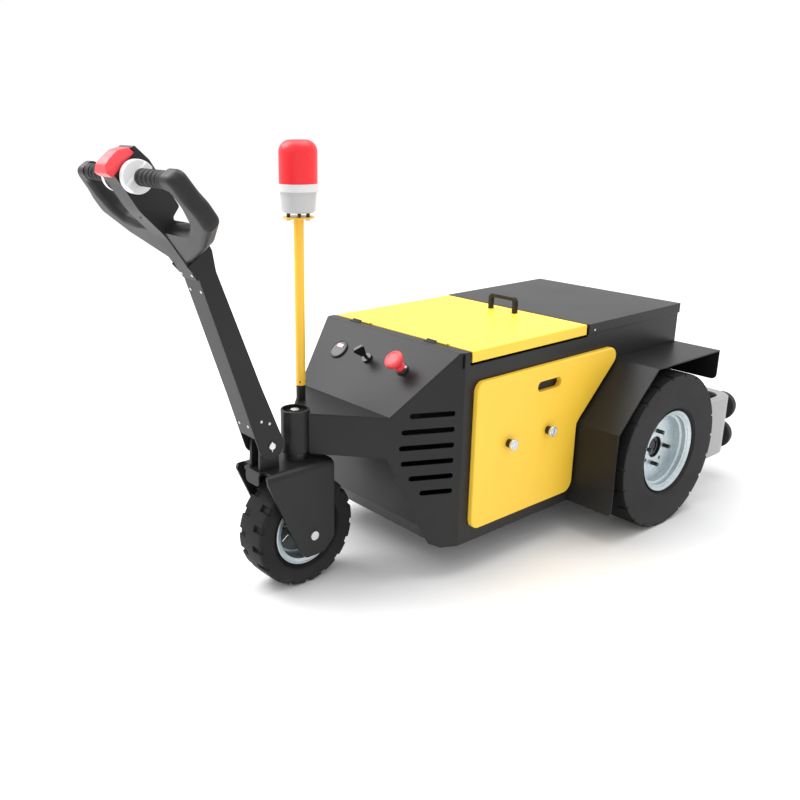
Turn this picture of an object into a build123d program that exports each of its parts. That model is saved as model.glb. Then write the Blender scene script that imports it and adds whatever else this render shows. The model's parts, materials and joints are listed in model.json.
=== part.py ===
# Three-wheeled electric tow tractor steered by hand with a tiller, for moving trailers on the flat.
# Millimetres. +Z is up and the ground is at Z = 0. The tiller points along -Y and the tow hitch along +Y,
# so +X is the machine's left side. While it is drawn, Y = 0 is at the rear axle; at the end every piece is
# moved along Y so that the origin stands on the ground under the middle of the whole machine.

from build123d import *
from math import atan2, cos, hypot, radians, sin
import os

# Clearances and stock
FIT = 0.3                  # gap between a piece and its seat
LID_GAP = 6.0              # gap round the lid, which swings up out of it
SHEET = 3.0                # thickness of the folded body sheets

# Body
BODY_HALF_W = 235.0
FLOOR_Z = 80.0
TOP_Z = 537.0
REAR_Y = 213.0
BEND_Y = -618.0            # upright fold where the sides turn in towards the nose
PANEL_TOP_Y = -630.0       # where the flat top turns down into the control panel
PANEL_FOOT_Y = -767.0      # where the control panel meets the flat nose
TIP_HALF_W = 20.0          # half width of the nose where it runs into the steering tube
TIP_Y = -893.0
NOSE_HALF_W = 160.0        # half width at the foot of the control panel
NOSE_TOP_Z = 403.0
BEAM_BOTTOM_Z = 309.0      # underside of the nose beam that carries the steering head
CHIN_FOOT_Y = -701.0       # lower edge of the sloped chin plate
CHIN_FOOT_Z = 139.0
CHIN_LEAN = 0.4            # how far the chin leans forward for each unit of height
SKIRT_FRONT_Y = -655.0     # where the chin meets the floor
CORNER_R = 24.0            # round lower corner of the side skirts

# Lid and rear cover
LID_FRONT_Y = -600.0       # middle of the gap between the front strip and the lid
LID_REAR_Y = -191.5        # middle of the gap between the lid and the rear cover
COVER_REAR_Y = 218.0
LIP = 25.0                 # depth of the turned-down edges of lid and cover
GUTTER_IN = 13.0           # how far the rim under the lid stands in from the side
HINGE_R = 2.6
HINGE_LEN = 32.0
HINGE_X = 130.0
HINGE_UP = 1.4             # height of the hinge pin over the lid's top
HINGE_PIN_R = 1.3
LEAF_T = 1.2
LEAF_W = 10.0
LID_HANDLE_Y = -232.0
LID_HANDLE_W = 80.0        # between the middles of its feet
LID_HANDLE_H = 41.0
LID_HANDLE_D = 12.0
LID_HANDLE_T = 9.0

# Cooling slots in the slanted faces: height of each and how far forward it reaches along the face
SLOT_H = 12.0
SLOT_BACK = 18.5
SLOT_PITCH = 36.5
SLOT_TOP_Z = 402.5
SLOT_REACH = (122.0, 139.5, 144.5, 139.5, 121.0, 95.0)

# Side panels
PANEL_DEPTH = 14.0
PANEL_FRONT_Y = -588.0
PANEL_LOW_Z = 114.0
PANEL_HIGH_Z = 467.0
PANEL_GAP = 6.0            # from the panel's edge to the mudguard
HAND_HOLE_Y = -341.0
HAND_HOLE_Z = 417.5
HAND_HOLE_L = 86.0
HAND_HOLE_H = 25.0
KNOB_YS = (-477.5, -336.5)
KNOB_Z = 303.0
KNOB_R = 13.5
KNOB_REACH = 19.0          # how far a knob stands out of its panel

# Mudguards over the rear wheels
GUARD_OUT = 365.0
GUARD_TOP_Z = 432.5
GUARD_BEND_Y = -71.0
GUARD_FRONT_Y = -215.0
GUARD_KNEE_Z = 291.5
GUARD_REAR_Y = 215.0
GUARD_FLAP = 80.0

# Wheels
REAR_R = 204.0
REAR_W = 102.0
REAR_OUT_X = 380.0         # outer side of the rear tyres
REAR_RIM_R = 106.0
REAR_RIM_W = 92.0
REAR_DISC_X = -24.0        # middle of the rear rim's disc, from the middle of the wheel outwards
REAR_HUB_R = 28.0
REAR_HUB_IN = -50.0        # inner and outer ends of the rear hub
REAR_HUB_OUT = 2.0
FRONT_R = 130.0
FRONT_W = 86.0
FRONT_RIM_R = 80.0
FRONT_RIM_W = 72.0
FRONT_HUB_R = 24.0
DISC_T = 6.0
FLANGE_T = 4.0             # thickness, height and foot of the flanges that hold a tyre's beads
FLANGE_H = 9.0
FLANGE_IN = 6.0
RIM_WALL = 4.0
DISC_SLOTS = 4             # slots in a rim's disc, with a round hole between each two
SLOT_TURN = 35.0
SHOULDER_R = 14.0          # rounding of a tyre between its tread and its sides
REAR_GROOVES = (22, 6.0, 26.0, 5.0)    # grooves on each shoulder: count, width, length, depth
FRONT_GROOVES = (17, 8.0, 36.0, 6.0)
AXLE_R = 15.0
AXLE_RUN = 0.05            # running clearance of a hub on its axle

# Steering head
STEER_Y = -901.0
TUBE_R = 32.0
TUBE_BORE = 28.0
TUBE_LOW_Z = 314.0
TUBE_TOP_Z = 411.0
TUBE_RIM = 10.0            # depth of the recess over the upper bush
BUSH_L = 26.0
SPINDLE_R = 15.0
SPINDLE_RUN = 0.05
NUT_R = 10.5               # corner radius and height of the nut on the spindle
NUT_H = 7.0

# Fork
FORK_IN = 57.0             # half the space between its plates
FORK_T = 7.0
FORK_TOP_Z = 297.0
FORK_FRONT_Y = -1018.0
FORK_REAR_Y = -842.0
FORK_ROUND = 16.0          # outer rounding of its upper corners
TAB_HALF_W = 25.0          # half width of the tab folded down in front
FRONT_AXLE_R = 8.0
AXLE_NUT_R = 10.5
AXLE_SPACER_R = 14.0

# Tiller
PIVOT_Y = -985.0
PIVOT_Z = 352.0
PIVOT_R = 8.0
EAR_IN = 13.0              # inner faces of the two ears that carry the tiller
EAR_T = 8.0
EAR_R = 21.0
PIVOT_OUT = 35.0           # how far the pivot pin reaches out on each side
ARM_TILT = 20.0            # lean of the arm from the upright
ARM_HALF_W = 30.0
ARM_LEN = 402.0
ARM_WALL = 3.0
ARM_DEEP = 31.0            # half depth at the pivot
ARM_MID = 25.5             # half depth at a third of the length
ARM_MID_S = 135.0
ARM_TOP_FRONT = 18.7       # reach forward and back at the top
ARM_TOP_BACK = 20.9
ARM_COVER_S = 36.0         # lower end of the arm's front cover

# Tiller head, in its own plane: X across, T up along it, O out of its front
HEAD_TILT = 34.8
HEAD_Y = -1141.8
HEAD_Z = 752.7
SPINE_HALF_W = 27.0
GRIP_T = 203.0
GRIP_R = 15.5
GRIP_IN = 53.0
GRIP_OUT = 152.0
DISC_R = 30.0
DISC_IN = 32.0
DISC_OUT = 51.0
HEAD_HALF_W = 205.0
WING_FRONT = 16.0          # depth of the loops in front of and behind the grips' line
WING_BACK = 19.0
WING_ROUND = 12.0
GRIP_RIBS = 7
RIB_PITCH = 9.0
BUTTON_HALF_W = 26.0

# Beacon on its pole
POLE_X = -58.0
POLE_Y = -842.0
POLE_R = 11.0
POLE_WALL = 2.0
SOCKET_TOP_Z = 440.0
SPIGOT_L = 30.0            # length of the socket's spigot inside the pole
POLE_TOP_Z = 812.0
BEACON_BASE_Z = 824.0
BEACON_COLLAR_Z = 867.0
LENS_Z = 884.0
LENS_TOP_Z = 973.0
LENS_R = 41.0
LENS_ROUND = 25.0
BEACON_R = 39.0            # radius of the base at its top
SPACER_AT = 24.0           # radius of the circle of the three spacers

# Controls on the sloped panel: X of each, and the distance of their row down from the panel's top fold
CONTROL_DOWN = 76.0
GAUGE_X = -115.0
GAUGE_R = 23.0
KEY_X = -10.0
KEY_R = 9.5
STOP_X = 108.0
STOP_R = 11.0
STOP_CAP_R = 22.0
STOP_REACH = 46.0          # height of the mushroom's top over the panel

# Rear bumper and hitch
BUMPER_HALF_W = 335.0
BUMPER_REAR_Y = 409.0
BUMPER_FRONT_Y = 229.0
BUMPER_LOW_Z = 100.0
BUMPER_HIGH_Z = 263.0
BUMPER_R = 66.0
BUMPER_T = 5.0
BUMPER_FLANGE = 30.0       # width of its flanges, turned in along its top and its bottom
BUFFER_R = 42.0
BUFFER_X = 287.0
BUFFER_ZS = (132.0, 218.0)
BUFFER_FOOT = 6.0
HITCH_REACH = 74.0
HITCH_T = 12.0
HITCH_GAP = 62.0
HITCH_Z = 186.0
HITCH_HALF_W = 34.0
TOW_PIN_R = 10.0

# Heavy masses closed inside
BATTERY = (300.0, 330.0, 300.0)
BATTERY_Y = -400.0


def parallel(points, distance):
    """The open outline that runs at a distance to the left of another, with mitred corners."""
    shifted = []
    for i, (x, y) in enumerate(points):
        before = points[max(i - 1, 0)]
        here = points[i]
        after = points[min(i + 1, len(points) - 1)]
        d0 = (here[0] - before[0], here[1] - before[1]) if i > 0 else (after[0] - here[0], after[1] - here[1])
        d1 = (after[0] - here[0], after[1] - here[1]) if i < len(points) - 1 else d0
        n0 = (-d0[1] / hypot(*d0), d0[0] / hypot(*d0))
        n1 = (-d1[1] / hypot(*d1), d1[0] / hypot(*d1))
        share = 1.0 + n0[0] * n1[0] + n0[1] * n1[1]
        shifted.append((x + (n0[0] + n1[0]) / share * distance, y + (n0[1] + n1[1]) / share * distance))
    return shifted


def band(points, thickness):
    """Face of a folded sheet between an open outline and its parallel."""
    return make_face(Polyline(*points, *reversed(parallel(points, thickness)), close=True))


def outline(points):
    """Face inside a closed row of corners."""
    return make_face(Polyline(*points, close=True))


def across(face, x0, x1):
    """A face drawn in (Y, Z), drawn out along X from x0 to x1."""
    return Pos(x0, 0, 0) * extrude(Plane.YZ * face, x1 - x0)


def upward(face, z0, z1):
    """A face drawn in (X, Y), drawn out upwards from z0 to z1."""
    return Pos(0, 0, z0) * extrude(face, z1 - z0)


def block(x0, x1, y0, y1, z0, z1):
    """A plain block between six planes."""
    return Pos((x0 + x1) / 2, (y0 + y1) / 2, (z0 + z1) / 2) * Box(x1 - x0, y1 - y0, z1 - z0)


def rod_x(radius, x0, x1, y, z):
    """A round rod along X."""
    return Pos((x0 + x1) / 2, y, z) * Rot(0, 90, 0) * Cylinder(radius, x1 - x0)


def rod_z(radius, z0, z1, x, y):
    """A round rod along Z."""
    return Pos(x, y, (z0 + z1) / 2) * Cylinder(radius, z1 - z0)


def right_of(piece):
    """The same piece on the other side of the machine."""
    return mirror(piece, Plane.YZ)


def both_sides(piece):
    return Compound(children=[piece, right_of(piece)])


nodes = {}

# Body shell. The plan of its left side runs from the rear, along the side, in to the nose and to the
# steering head; the outline of that side holds for the flat side and for the slanted faces alike.
PLAN = [
    (BODY_HALF_W, REAR_Y),
    (BODY_HALF_W, BEND_Y),
    (NOSE_HALF_W, PANEL_FOOT_Y),
    (TIP_HALF_W, TIP_Y),
]
INNER_PLAN = parallel(PLAN, -SHEET)


def plan_prism(points):
    """The whole width of the body inside a left-hand plan, from the floor to the top."""
    return upward(outline(points + [(-x, y) for x, y in reversed(points)]), FLOOR_Z, TOP_Z)


STRIP_REAR_Y = LID_FRONT_Y - LID_GAP / 2
COVER_FRONT_Y = LID_REAR_Y + LID_GAP / 2
UNDER_TOP = TOP_Z - SHEET
SIDE_TOP_Z = TOP_Z - LIP - LID_GAP
NOSE_FRONT_Y = STEER_Y - TUBE_R
TOP_LINE = [
    (STRIP_REAR_Y, TOP_Z - LIP),
    (STRIP_REAR_Y, TOP_Z),
    (PANEL_TOP_Y, TOP_Z),
    (PANEL_FOOT_Y, NOSE_TOP_Z),
    (NOSE_FRONT_Y, NOSE_TOP_Z),
]
CHIN_LINE = [
    (NOSE_FRONT_Y, BEAM_BOTTOM_Z),
    (CHIN_FOOT_Y - (BEAM_BOTTOM_Z - CHIN_FOOT_Z) * CHIN_LEAN, BEAM_BOTTOM_Z),
    (CHIN_FOOT_Y, CHIN_FOOT_Z),
    (SKIRT_FRONT_Y - CORNER_R / 2, FLOOR_Z + CORNER_R / 2),
]
side_outline = outline([
    (SKIRT_FRONT_Y, FLOOR_Z),
    (REAR_Y, FLOOR_Z),
    (REAR_Y, UNDER_TOP),
    (COVER_FRONT_Y, UNDER_TOP),
    (COVER_FRONT_Y, SIDE_TOP_Z),
    (STRIP_REAR_Y, SIDE_TOP_Z),
    *parallel(TOP_LINE, SHEET)[1:],
    *CHIN_LINE[:3],
    (SKIRT_FRONT_Y - CORNER_R, FLOOR_Z + CORNER_R / 2),
])
shell_tube = rod_z(TUBE_R + FIT, FLOOR_Z, TOP_Z, 0, STEER_Y)
side_sheet = upward(band(PLAN, -SHEET), FLOOR_Z, TOP_Z) & across(side_outline, 0, BODY_HALF_W)
side_sheet = side_sheet - shell_tube

# The slots are drawn on the slanted face: X forward along it from the upright fold, Y up
face_in = NOSE_HALF_W - BODY_HALF_W
face_forward = PANEL_FOOT_Y - BEND_Y
face_plane = Plane(
    origin=(BODY_HALF_W, BEND_Y, 0),
    x_dir=(face_in, face_forward, 0),
    z_dir=(face_forward, -face_in, 0),
)
for row, reach in enumerate(SLOT_REACH):
    slot = Pos((SLOT_BACK + reach) / 2, SLOT_TOP_Z - row * SLOT_PITCH) * SlotOverall(reach - SLOT_BACK, SLOT_H)
    side_sheet = side_sheet - extrude(face_plane * slot, SHEET * 2, both=True)
wheel_hole = rod_x(AXLE_R * 2, BODY_HALF_W - 3 * SHEET, BODY_HALF_W + SHEET, 0, REAR_R)
side_sheet = side_sheet - wheel_hole

# Top of the nose: flat strip, sloped control panel and flat nose in one folded sheet
slope = atan2(TOP_Z - NOSE_TOP_Z, PANEL_TOP_Y - PANEL_FOOT_Y)
top_band = band(TOP_LINE, SHEET)
control_plane = Plane(
    origin=(0, PANEL_TOP_Y, TOP_Z),
    x_dir=(1, 0, 0),
    z_dir=(0, -sin(slope), cos(slope)),
)
control_row = control_plane * Pos(0, -CONTROL_DOWN, 0)
nose_top = across(top_band, -BODY_HALF_W, BODY_HALF_W) & plan_prism(PLAN)
nose_top = nose_top - shell_tube
for x, radius in ((GAUGE_X, GAUGE_R), (KEY_X, KEY_R), (STOP_X, STOP_R)):
    nose_top = nose_top - control_row * Pos(x, 0, 0) * Cylinder(radius, 4 * SHEET)
socket = rod_z(POLE_R - 0.5, NOSE_TOP_Z - SHEET, SOCKET_TOP_Z, POLE_X, POLE_Y)
spigot = rod_z(POLE_R - POLE_WALL - AXLE_RUN, SOCKET_TOP_Z, SOCKET_TOP_Z + SPIGOT_L, POLE_X, POLE_Y)
nodes["nose_top"] = nose_top + socket + spigot
side_sheet = side_sheet - across(top_band, 0, BODY_HALF_W)
nodes["body_side_left"] = side_sheet
nodes["body_side_right"] = right_of(side_sheet)

# Chin plate and beam bottom: one sheet folded under the nose, down and back to the floor
floor_low = FLOOR_Z + CORNER_R / 2
chin_band = band(CHIN_LINE + [(SKIRT_FRONT_Y + CORNER_R / 2, floor_low)], SHEET)
inner_prism = plan_prism(INNER_PLAN)
nodes["chin_plate"] = (across(chin_band, -BODY_HALF_W, BODY_HALF_W) & inner_prism) - shell_tube

# Floor and rear plate: one folded sheet inside the side sheets
IN_W = BODY_HALF_W - SHEET
floor = block(-IN_W, IN_W, SKIRT_FRONT_Y + CORNER_R / 2, REAR_Y - SHEET, floor_low, floor_low + SHEET)
rear_plate = block(-IN_W, IN_W, REAR_Y - SHEET, REAR_Y, floor_low, UNDER_TOP)
nodes["floor_pan"] = (floor & inner_prism) + rear_plate

# Rim round the lid's opening: a gutter and an upstand that the lid rests on
RIM_X = IN_W - GUTTER_IN
RIM_FRONT_Y = STRIP_REAR_Y + GUTTER_IN
RIM_REAR_Y = COVER_FRONT_Y - GUTTER_IN - SHEET
RIM_Z = SIDE_TOP_Z - SHEET
rim = block(-IN_W, IN_W, STRIP_REAR_Y, COVER_FRONT_Y, RIM_Z, SIDE_TOP_Z)
rim = rim + block(-RIM_X, RIM_X, RIM_FRONT_Y, RIM_REAR_Y, RIM_Z, UNDER_TOP - FIT)
rim = rim - block(-RIM_X + SHEET, RIM_X - SHEET, RIM_FRONT_Y + SHEET, RIM_REAR_Y - SHEET, 0, TOP_Z)
nodes["lid_rim"] = rim

# Rear cover with a turned-down lip on its sides and rear
cover = block(-BODY_HALF_W - SHEET, BODY_HALF_W + SHEET, COVER_FRONT_Y, COVER_REAR_Y, TOP_Z - LIP, TOP_Z)
cover = fillet(cover.edges().filter_by(Axis.Z).group_by(Axis.Y)[-1], SHEET)
cover = cover - block(-BODY_HALF_W, BODY_HALF_W, COVER_FRONT_Y - 1, COVER_REAR_Y - SHEET, 0, UNDER_TOP)
nodes["rear_cover"] = cover

# Lid, hinged at its front edge, with a bridge handle near its rear edge
LID_Y0 = LID_FRONT_Y + LID_GAP / 2
LID_Y1 = LID_REAR_Y - LID_GAP / 2
lid = block(-BODY_HALF_W, BODY_HALF_W, LID_Y0, LID_Y1, TOP_Z - LIP, TOP_Z)
lid = fillet(lid.edges().filter_by(Axis.Y).group_by(Axis.Z)[-1], SHEET)
lid = lid - block(-IN_W, IN_W, LID_Y0 - 1, LID_Y1 - SHEET, 0, UNDER_TOP)
HINGE_Z = TOP_Z + HINGE_UP
LEAF_TOP_Z = TOP_Z + LEAF_T
hinges = []
for near in (-HINGE_X, HINGE_X):
    lid = lid + rod_x(HINGE_R, near, near + HINGE_LEN, LID_FRONT_Y, HINGE_Z)
    lid = lid + block(near, near + HINGE_LEN, LID_FRONT_Y, LID_Y0 + LEAF_W, TOP_Z, LEAF_TOP_Z)
    lid = lid - rod_x(HINGE_PIN_R + AXLE_RUN, near, near + HINGE_LEN, LID_FRONT_Y, HINGE_Z)
    far = near - HINGE_LEN
    hinge = rod_x(HINGE_R, far, near - FIT, LID_FRONT_Y, HINGE_Z)
    hinge = hinge + block(far, near - FIT, STRIP_REAR_Y - LEAF_W, LID_FRONT_Y, TOP_Z, LEAF_TOP_Z)
    hinges.append(hinge + rod_x(HINGE_PIN_R, far, near + HINGE_LEN, LID_FRONT_Y, HINGE_Z))
nodes["lid"] = lid
nodes["lid_hinges"] = Compound(children=hinges)
half = LID_HANDLE_W / 2
handle_path = FilletPolyline(
    (-half, LID_HANDLE_Y, TOP_Z),
    (-half, LID_HANDLE_Y, TOP_Z + LID_HANDLE_H - LID_HANDLE_T / 2),
    (half, LID_HANDLE_Y, TOP_Z + LID_HANDLE_H - LID_HANDLE_T / 2),
    (half, LID_HANDLE_Y, TOP_Z),
    radius=LID_HANDLE_T,
)
handle_section = Plane(origin=handle_path @ 0, z_dir=handle_path % 0, x_dir=(0, 1, 0))
nodes["lid_handle"] = sweep(handle_section * Rectangle(LID_HANDLE_D, LID_HANDLE_T), handle_path)

# Mudguards: one sheet folded down in front, sloped, flat on top and turned down behind
guard_band = band([
    (GUARD_FRONT_Y, FLOOR_Z),
    (GUARD_FRONT_Y, GUARD_KNEE_Z),
    (GUARD_BEND_Y, GUARD_TOP_Z),
    (GUARD_REAR_Y, GUARD_TOP_Z),
    (GUARD_REAR_Y, GUARD_TOP_Z - GUARD_FLAP),
], -SHEET)
guard = across(guard_band, BODY_HALF_W, GUARD_OUT)
guard = fillet(guard.edges().filter_by(Axis.Y).group_by(Axis.X)[-1].sort_by(Axis.Z)[:2], 14)
nodes["mudguard_left"] = guard
nodes["mudguard_right"] = right_of(guard)

# Side panels: moulded trays held by two knobs, each with a hand hole
knee_y = GUARD_FRONT_Y - PANEL_GAP
run_y = GUARD_BEND_Y - GUARD_FRONT_Y
run_z = GUARD_TOP_Z - GUARD_KNEE_Z
lean = PANEL_GAP * (hypot(run_y, run_z) - run_y) / run_z
knee_z = GUARD_KNEE_Z + lean
panel_corners = [
    (PANEL_FRONT_Y, PANEL_LOW_Z),
    (knee_y, PANEL_LOW_Z),
    (knee_y, knee_z),
    (knee_y + (PANEL_HIGH_Z - knee_z) * run_y / run_z, PANEL_HIGH_Z),
    (PANEL_FRONT_Y, PANEL_HIGH_Z),
]
PANEL_RS = (24.0, 30.0, 20.0, 24.0, 24.0)


def rounded(points, radii):
    """A closed outline with each corner rounded by its own radius."""
    face = outline(points)
    for point, radius in zip(points, radii):
        if radius > 0:
            face = fillet(face.vertices().sort_by_distance(Vector(*point, 0))[0], radius)
    return face


panel_face = rounded(panel_corners, PANEL_RS)
panel = across(panel_face, BODY_HALF_W, BODY_HALF_W + PANEL_DEPTH)
panel = fillet(panel.edges().group_by(Axis.X)[-1], 4)
hollow = offset(panel_face, -SHEET, kind=Kind.INTERSECTION)
hand_slot = Pos(HAND_HOLE_Y, HAND_HOLE_Z) * SlotOverall(HAND_HOLE_L, HAND_HOLE_H)
panel_boss = [Pos(y, KNOB_Z) * Circle(KNOB_R) for y in KNOB_YS]
hollow_solid = across(hollow, BODY_HALF_W, BODY_HALF_W + PANEL_DEPTH - SHEET)
hollow_solid = hollow_solid - across(Pos(HAND_HOLE_Y, HAND_HOLE_Z) * SlotOverall(
    HAND_HOLE_L + 2 * SHEET, HAND_HOLE_H + 2 * SHEET), BODY_HALF_W, BODY_HALF_W + PANEL_DEPTH)
for boss in panel_boss:
    hollow_solid = hollow_solid - across(boss, BODY_HALF_W, BODY_HALF_W + PANEL_DEPTH)
panel = panel - hollow_solid
panel = panel - across(hand_slot, BODY_HALF_W - 1, BODY_HALF_W + PANEL_DEPTH + 1)
nodes["side_panel_left"] = panel
nodes["side_panel_right"] = right_of(panel)
panel_out = BODY_HALF_W + PANEL_DEPTH
knobs = []
for y in KNOB_YS:
    neck = rod_x(KNOB_R * 0.75, panel_out, panel_out + KNOB_REACH - 4, y, KNOB_Z)
    head = rod_x(KNOB_R, panel_out + KNOB_REACH - 4, panel_out + KNOB_REACH, y, KNOB_Z)
    knob = neck + chamfer(head.edges().group_by(Axis.X)[-1], 1)
    knobs += [knob, right_of(knob)]
nodes["panel_knobs"] = Compound(children=knobs)

# Steering head: a tube with two bushes, welded into the end of the beam
tube = rod_z(TUBE_R, TUBE_LOW_Z, TUBE_TOP_Z, 0, STEER_Y)
tube = chamfer(tube.edges().filter_by(GeomType.CIRCLE).group_by(Axis.Z)[-1], 1.5)
tube = tube - rod_z(TUBE_BORE, TUBE_LOW_Z + BUSH_L, TUBE_TOP_Z - TUBE_RIM - BUSH_L, 0, STEER_Y)
tube = tube - rod_z(SPINDLE_R + SPINDLE_RUN, TUBE_LOW_Z, TUBE_TOP_Z, 0, STEER_Y)
tube = tube - rod_z(TUBE_BORE, TUBE_TOP_Z - TUBE_RIM, TUBE_TOP_Z, 0, STEER_Y)
nodes["steering_tube"] = tube

# Steering: spindle and nut, fork, ears for the tiller
SPINDLE_TOP_Z = TUBE_TOP_Z - TUBE_RIM + 1
spindle = rod_z(SPINDLE_R, FORK_TOP_Z, SPINDLE_TOP_Z, 0, STEER_Y)
spindle = spindle + rod_z(TUBE_R - 6, FORK_TOP_Z, TUBE_LOW_Z - 2 * FIT, 0, STEER_Y)
spindle = spindle + Pos(0, STEER_Y, SPINDLE_TOP_Z) * extrude(RegularPolygon(NUT_R, 6), NUT_H)
nodes["steering_spindle"] = spindle

FORK_OUT = FORK_IN + FORK_T
fork_points = [
    (FORK_FRONT_Y + 1, FORK_TOP_Z),
    (FORK_FRONT_Y, FORK_TOP_Z - 18),
    (STEER_Y - 37, FRONT_R - 30),
    (STEER_Y - 22, FRONT_R - 51),
    (STEER_Y + 30, FRONT_R - 51),
    (FORK_REAR_Y, FRONT_R - 20),
    (FORK_REAR_Y, FORK_TOP_Z),
]
fork_profile = rounded(fork_points, (0, 8, 12, 18, 24, 18, 0))
arch = block(-FORK_OUT, FORK_OUT, FORK_FRONT_Y - 1, FORK_REAR_Y + 1, 0, FORK_TOP_Z)
arch = fillet(arch.edges().filter_by(Axis.Y).group_by(Axis.Z)[-1], FORK_ROUND)
inside = block(-FORK_IN, FORK_IN, FORK_FRONT_Y - 2, FORK_REAR_Y + 2, -1, FORK_TOP_Z - FORK_T)
arch = arch - fillet(inside.edges().filter_by(Axis.Y).group_by(Axis.Z)[-1], FORK_ROUND - FORK_T)
fork = arch & across(fork_profile, -FORK_OUT, FORK_OUT)
fork = fork - block(-FORK_IN + 4, -TAB_HALF_W - 4, FORK_FRONT_Y - 2, FORK_FRONT_Y + 14, 0, TOP_Z)
fork = fork - block(TAB_HALF_W + 4, FORK_IN - 4, FORK_FRONT_Y - 2, FORK_FRONT_Y + 14, 0, TOP_Z)
tab = block(-TAB_HALF_W, TAB_HALF_W, FORK_FRONT_Y + 1, FORK_FRONT_Y + 1 + FORK_T / 2, FORK_TOP_Z - 34, FORK_TOP_Z - 1)
tab = fillet(tab.edges().filter_by(Axis.Y).group_by(Axis.Z)[0], 10)
fork = fork + tab
fork = fork - rod_x(FRONT_AXLE_R, -FORK_OUT - 1, FORK_OUT + 1, STEER_Y, FRONT_R)
nodes["fork"] = fork

axle = rod_x(FRONT_AXLE_R, -FORK_OUT, FORK_OUT, STEER_Y, FRONT_R)
HUB_HALF = FORK_IN - 6
axle_end = rod_x(AXLE_NUT_R, FORK_OUT, FORK_OUT + 6, STEER_Y, FRONT_R)
spacer = rod_x(AXLE_SPACER_R, HUB_HALF + FIT, FORK_IN, STEER_Y, FRONT_R)
for piece in (axle_end, spacer):
    axle = axle + piece + right_of(piece)
nodes["front_axle"] = axle

ear_face = rounded([
    (PIVOT_Y - EAR_R - 4, FORK_TOP_Z),
    (PIVOT_Y - EAR_R, PIVOT_Z + EAR_R),
    (PIVOT_Y + EAR_R, PIVOT_Z + EAR_R),
    (PIVOT_Y + EAR_R + 4, FORK_TOP_Z),
], (0, EAR_R - 1, EAR_R - 1, 0))
ear = across(ear_face, EAR_IN, EAR_IN + EAR_T)
ears = ear + right_of(ear)
ears = ears + block(-EAR_IN, EAR_IN, PIVOT_Y + EAR_R - 6, PIVOT_Y + EAR_R + 2, FORK_TOP_Z, FORK_TOP_Z + 30)
ears = ears - rod_x(PIVOT_R + AXLE_RUN, -EAR_IN - EAR_T - 1, EAR_IN + EAR_T + 1, PIVOT_Y, PIVOT_Z)
nodes["tiller_ears"] = ears


def tyre(radius, width, rim_r, rim_w, grooves):
    """A solid tyre about the X axis, seated between a rim's flanges, with staggered grooves in its shoulders."""
    half = width / 2
    bead = rim_w / 2 - FLANGE_IN - FIT
    bore = rim_r - FLANGE_H + FIT
    section = rounded([
        (-bead, bore),
        (-bead, rim_r + 3),
        (-half, rim_r + 16),
        (-half + 2, radius),
        (half - 2, radius),
        (half, rim_r + 16),
        (bead, rim_r + 3),
        (bead, bore),
    ], (0, 3, 20, SHOULDER_R, SHOULDER_R, 20, 3, 0))
    count, groove_w, groove_l, depth = grooves
    cutter = block(half - groove_l, half + 1, -groove_w / 2, groove_w / 2, radius - depth, radius + depth)
    cutters = []
    for i in range(count):
        cutters.append(Rot(i * 360 / count, 0, 0) * cutter)
        cutters.append(Rot((i + 0.5) * 360 / count, 0, 0) * right_of(cutter))
    return revolve(section, Axis.X, 360) - cutters


def rim(radius, width, disc_x, hub_r, hub_in, hub_out, bore):
    """A pressed rim about the X axis with its outer side at +X: flanges, well, slotted disc and hub."""
    half = width / 2
    well = radius * 0.84
    profile = band([
        (-half, radius),
        (-half + FLANGE_T, radius),
        (-half + FLANGE_IN, radius - FLANGE_H),
        (-half * 0.8, radius - FLANGE_H - 1),
        (-half * 0.64, well),
        (half * 0.3, well),
        (half * 0.5, radius - FLANGE_H - 1),
        (half - FLANGE_IN, radius - FLANGE_H),
        (half - FLANGE_T, radius),
        (half, radius),
    ], -RIM_WALL)
    barrel = revolve(profile, Axis.X, 360)
    disc = rod_x(well - RIM_WALL / 2, disc_x - DISC_T / 2, disc_x + DISC_T / 2, 0, 0)
    room = well - RIM_WALL - hub_r
    slot = Rot(0, 90, 0) * extrude(SlotOverall(room * 0.62, room * 0.17), width, both=True)
    hole = Rot(0, 90, 0) * Cylinder(room * 0.09, 2 * width)
    cutters = []
    for i in range(DISC_SLOTS):
        turn = 360 / DISC_SLOTS * i
        cutters.append(Rot(turn + SLOT_TURN, 0, 0) * Pos(0, 0, hub_r + room * 0.42) * slot)
        cutters.append(Rot(turn + SLOT_TURN + 180 / DISC_SLOTS, 0, 0) * Pos(0, 0, hub_r + room * 0.3) * hole)
    hub = rod_x(hub_r, hub_in, hub_out, 0, 0)
    hub = chamfer(hub.edges().filter_by(GeomType.CIRCLE).group_by(Axis.X)[-1], 2)
    return barrel + (disc - cutters) + hub - rod_x(bore + AXLE_RUN, -width, width, 0, 0)


rear_tyre = tyre(REAR_R, REAR_W, REAR_RIM_R, REAR_RIM_W, REAR_GROOVES)
front_tyre = tyre(FRONT_R, FRONT_W, FRONT_RIM_R, FRONT_RIM_W, FRONT_GROOVES)
rear_rim = rim(REAR_RIM_R, REAR_RIM_W, REAR_DISC_X, REAR_HUB_R, REAR_HUB_IN, REAR_HUB_OUT, AXLE_R)
front_rim = rim(FRONT_RIM_R, FRONT_RIM_W, 0, FRONT_HUB_R, -HUB_HALF, HUB_HALF, FRONT_AXLE_R)
rear_x = REAR_OUT_X - REAR_W / 2
left_seat = Pos(rear_x, 0, REAR_R)
nodes["rear_tyre_left"] = left_seat * rear_tyre
nodes["rear_rim_left"] = left_seat * rear_rim
nodes["rear_tyre_right"] = right_of(nodes["rear_tyre_left"])
nodes["rear_rim_right"] = right_of(nodes["rear_rim_left"])
nodes["front_tyre"] = Pos(0, STEER_Y, FRONT_R) * front_tyre
nodes["front_rim"] = Pos(0, STEER_Y, FRONT_R) * front_rim

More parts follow.
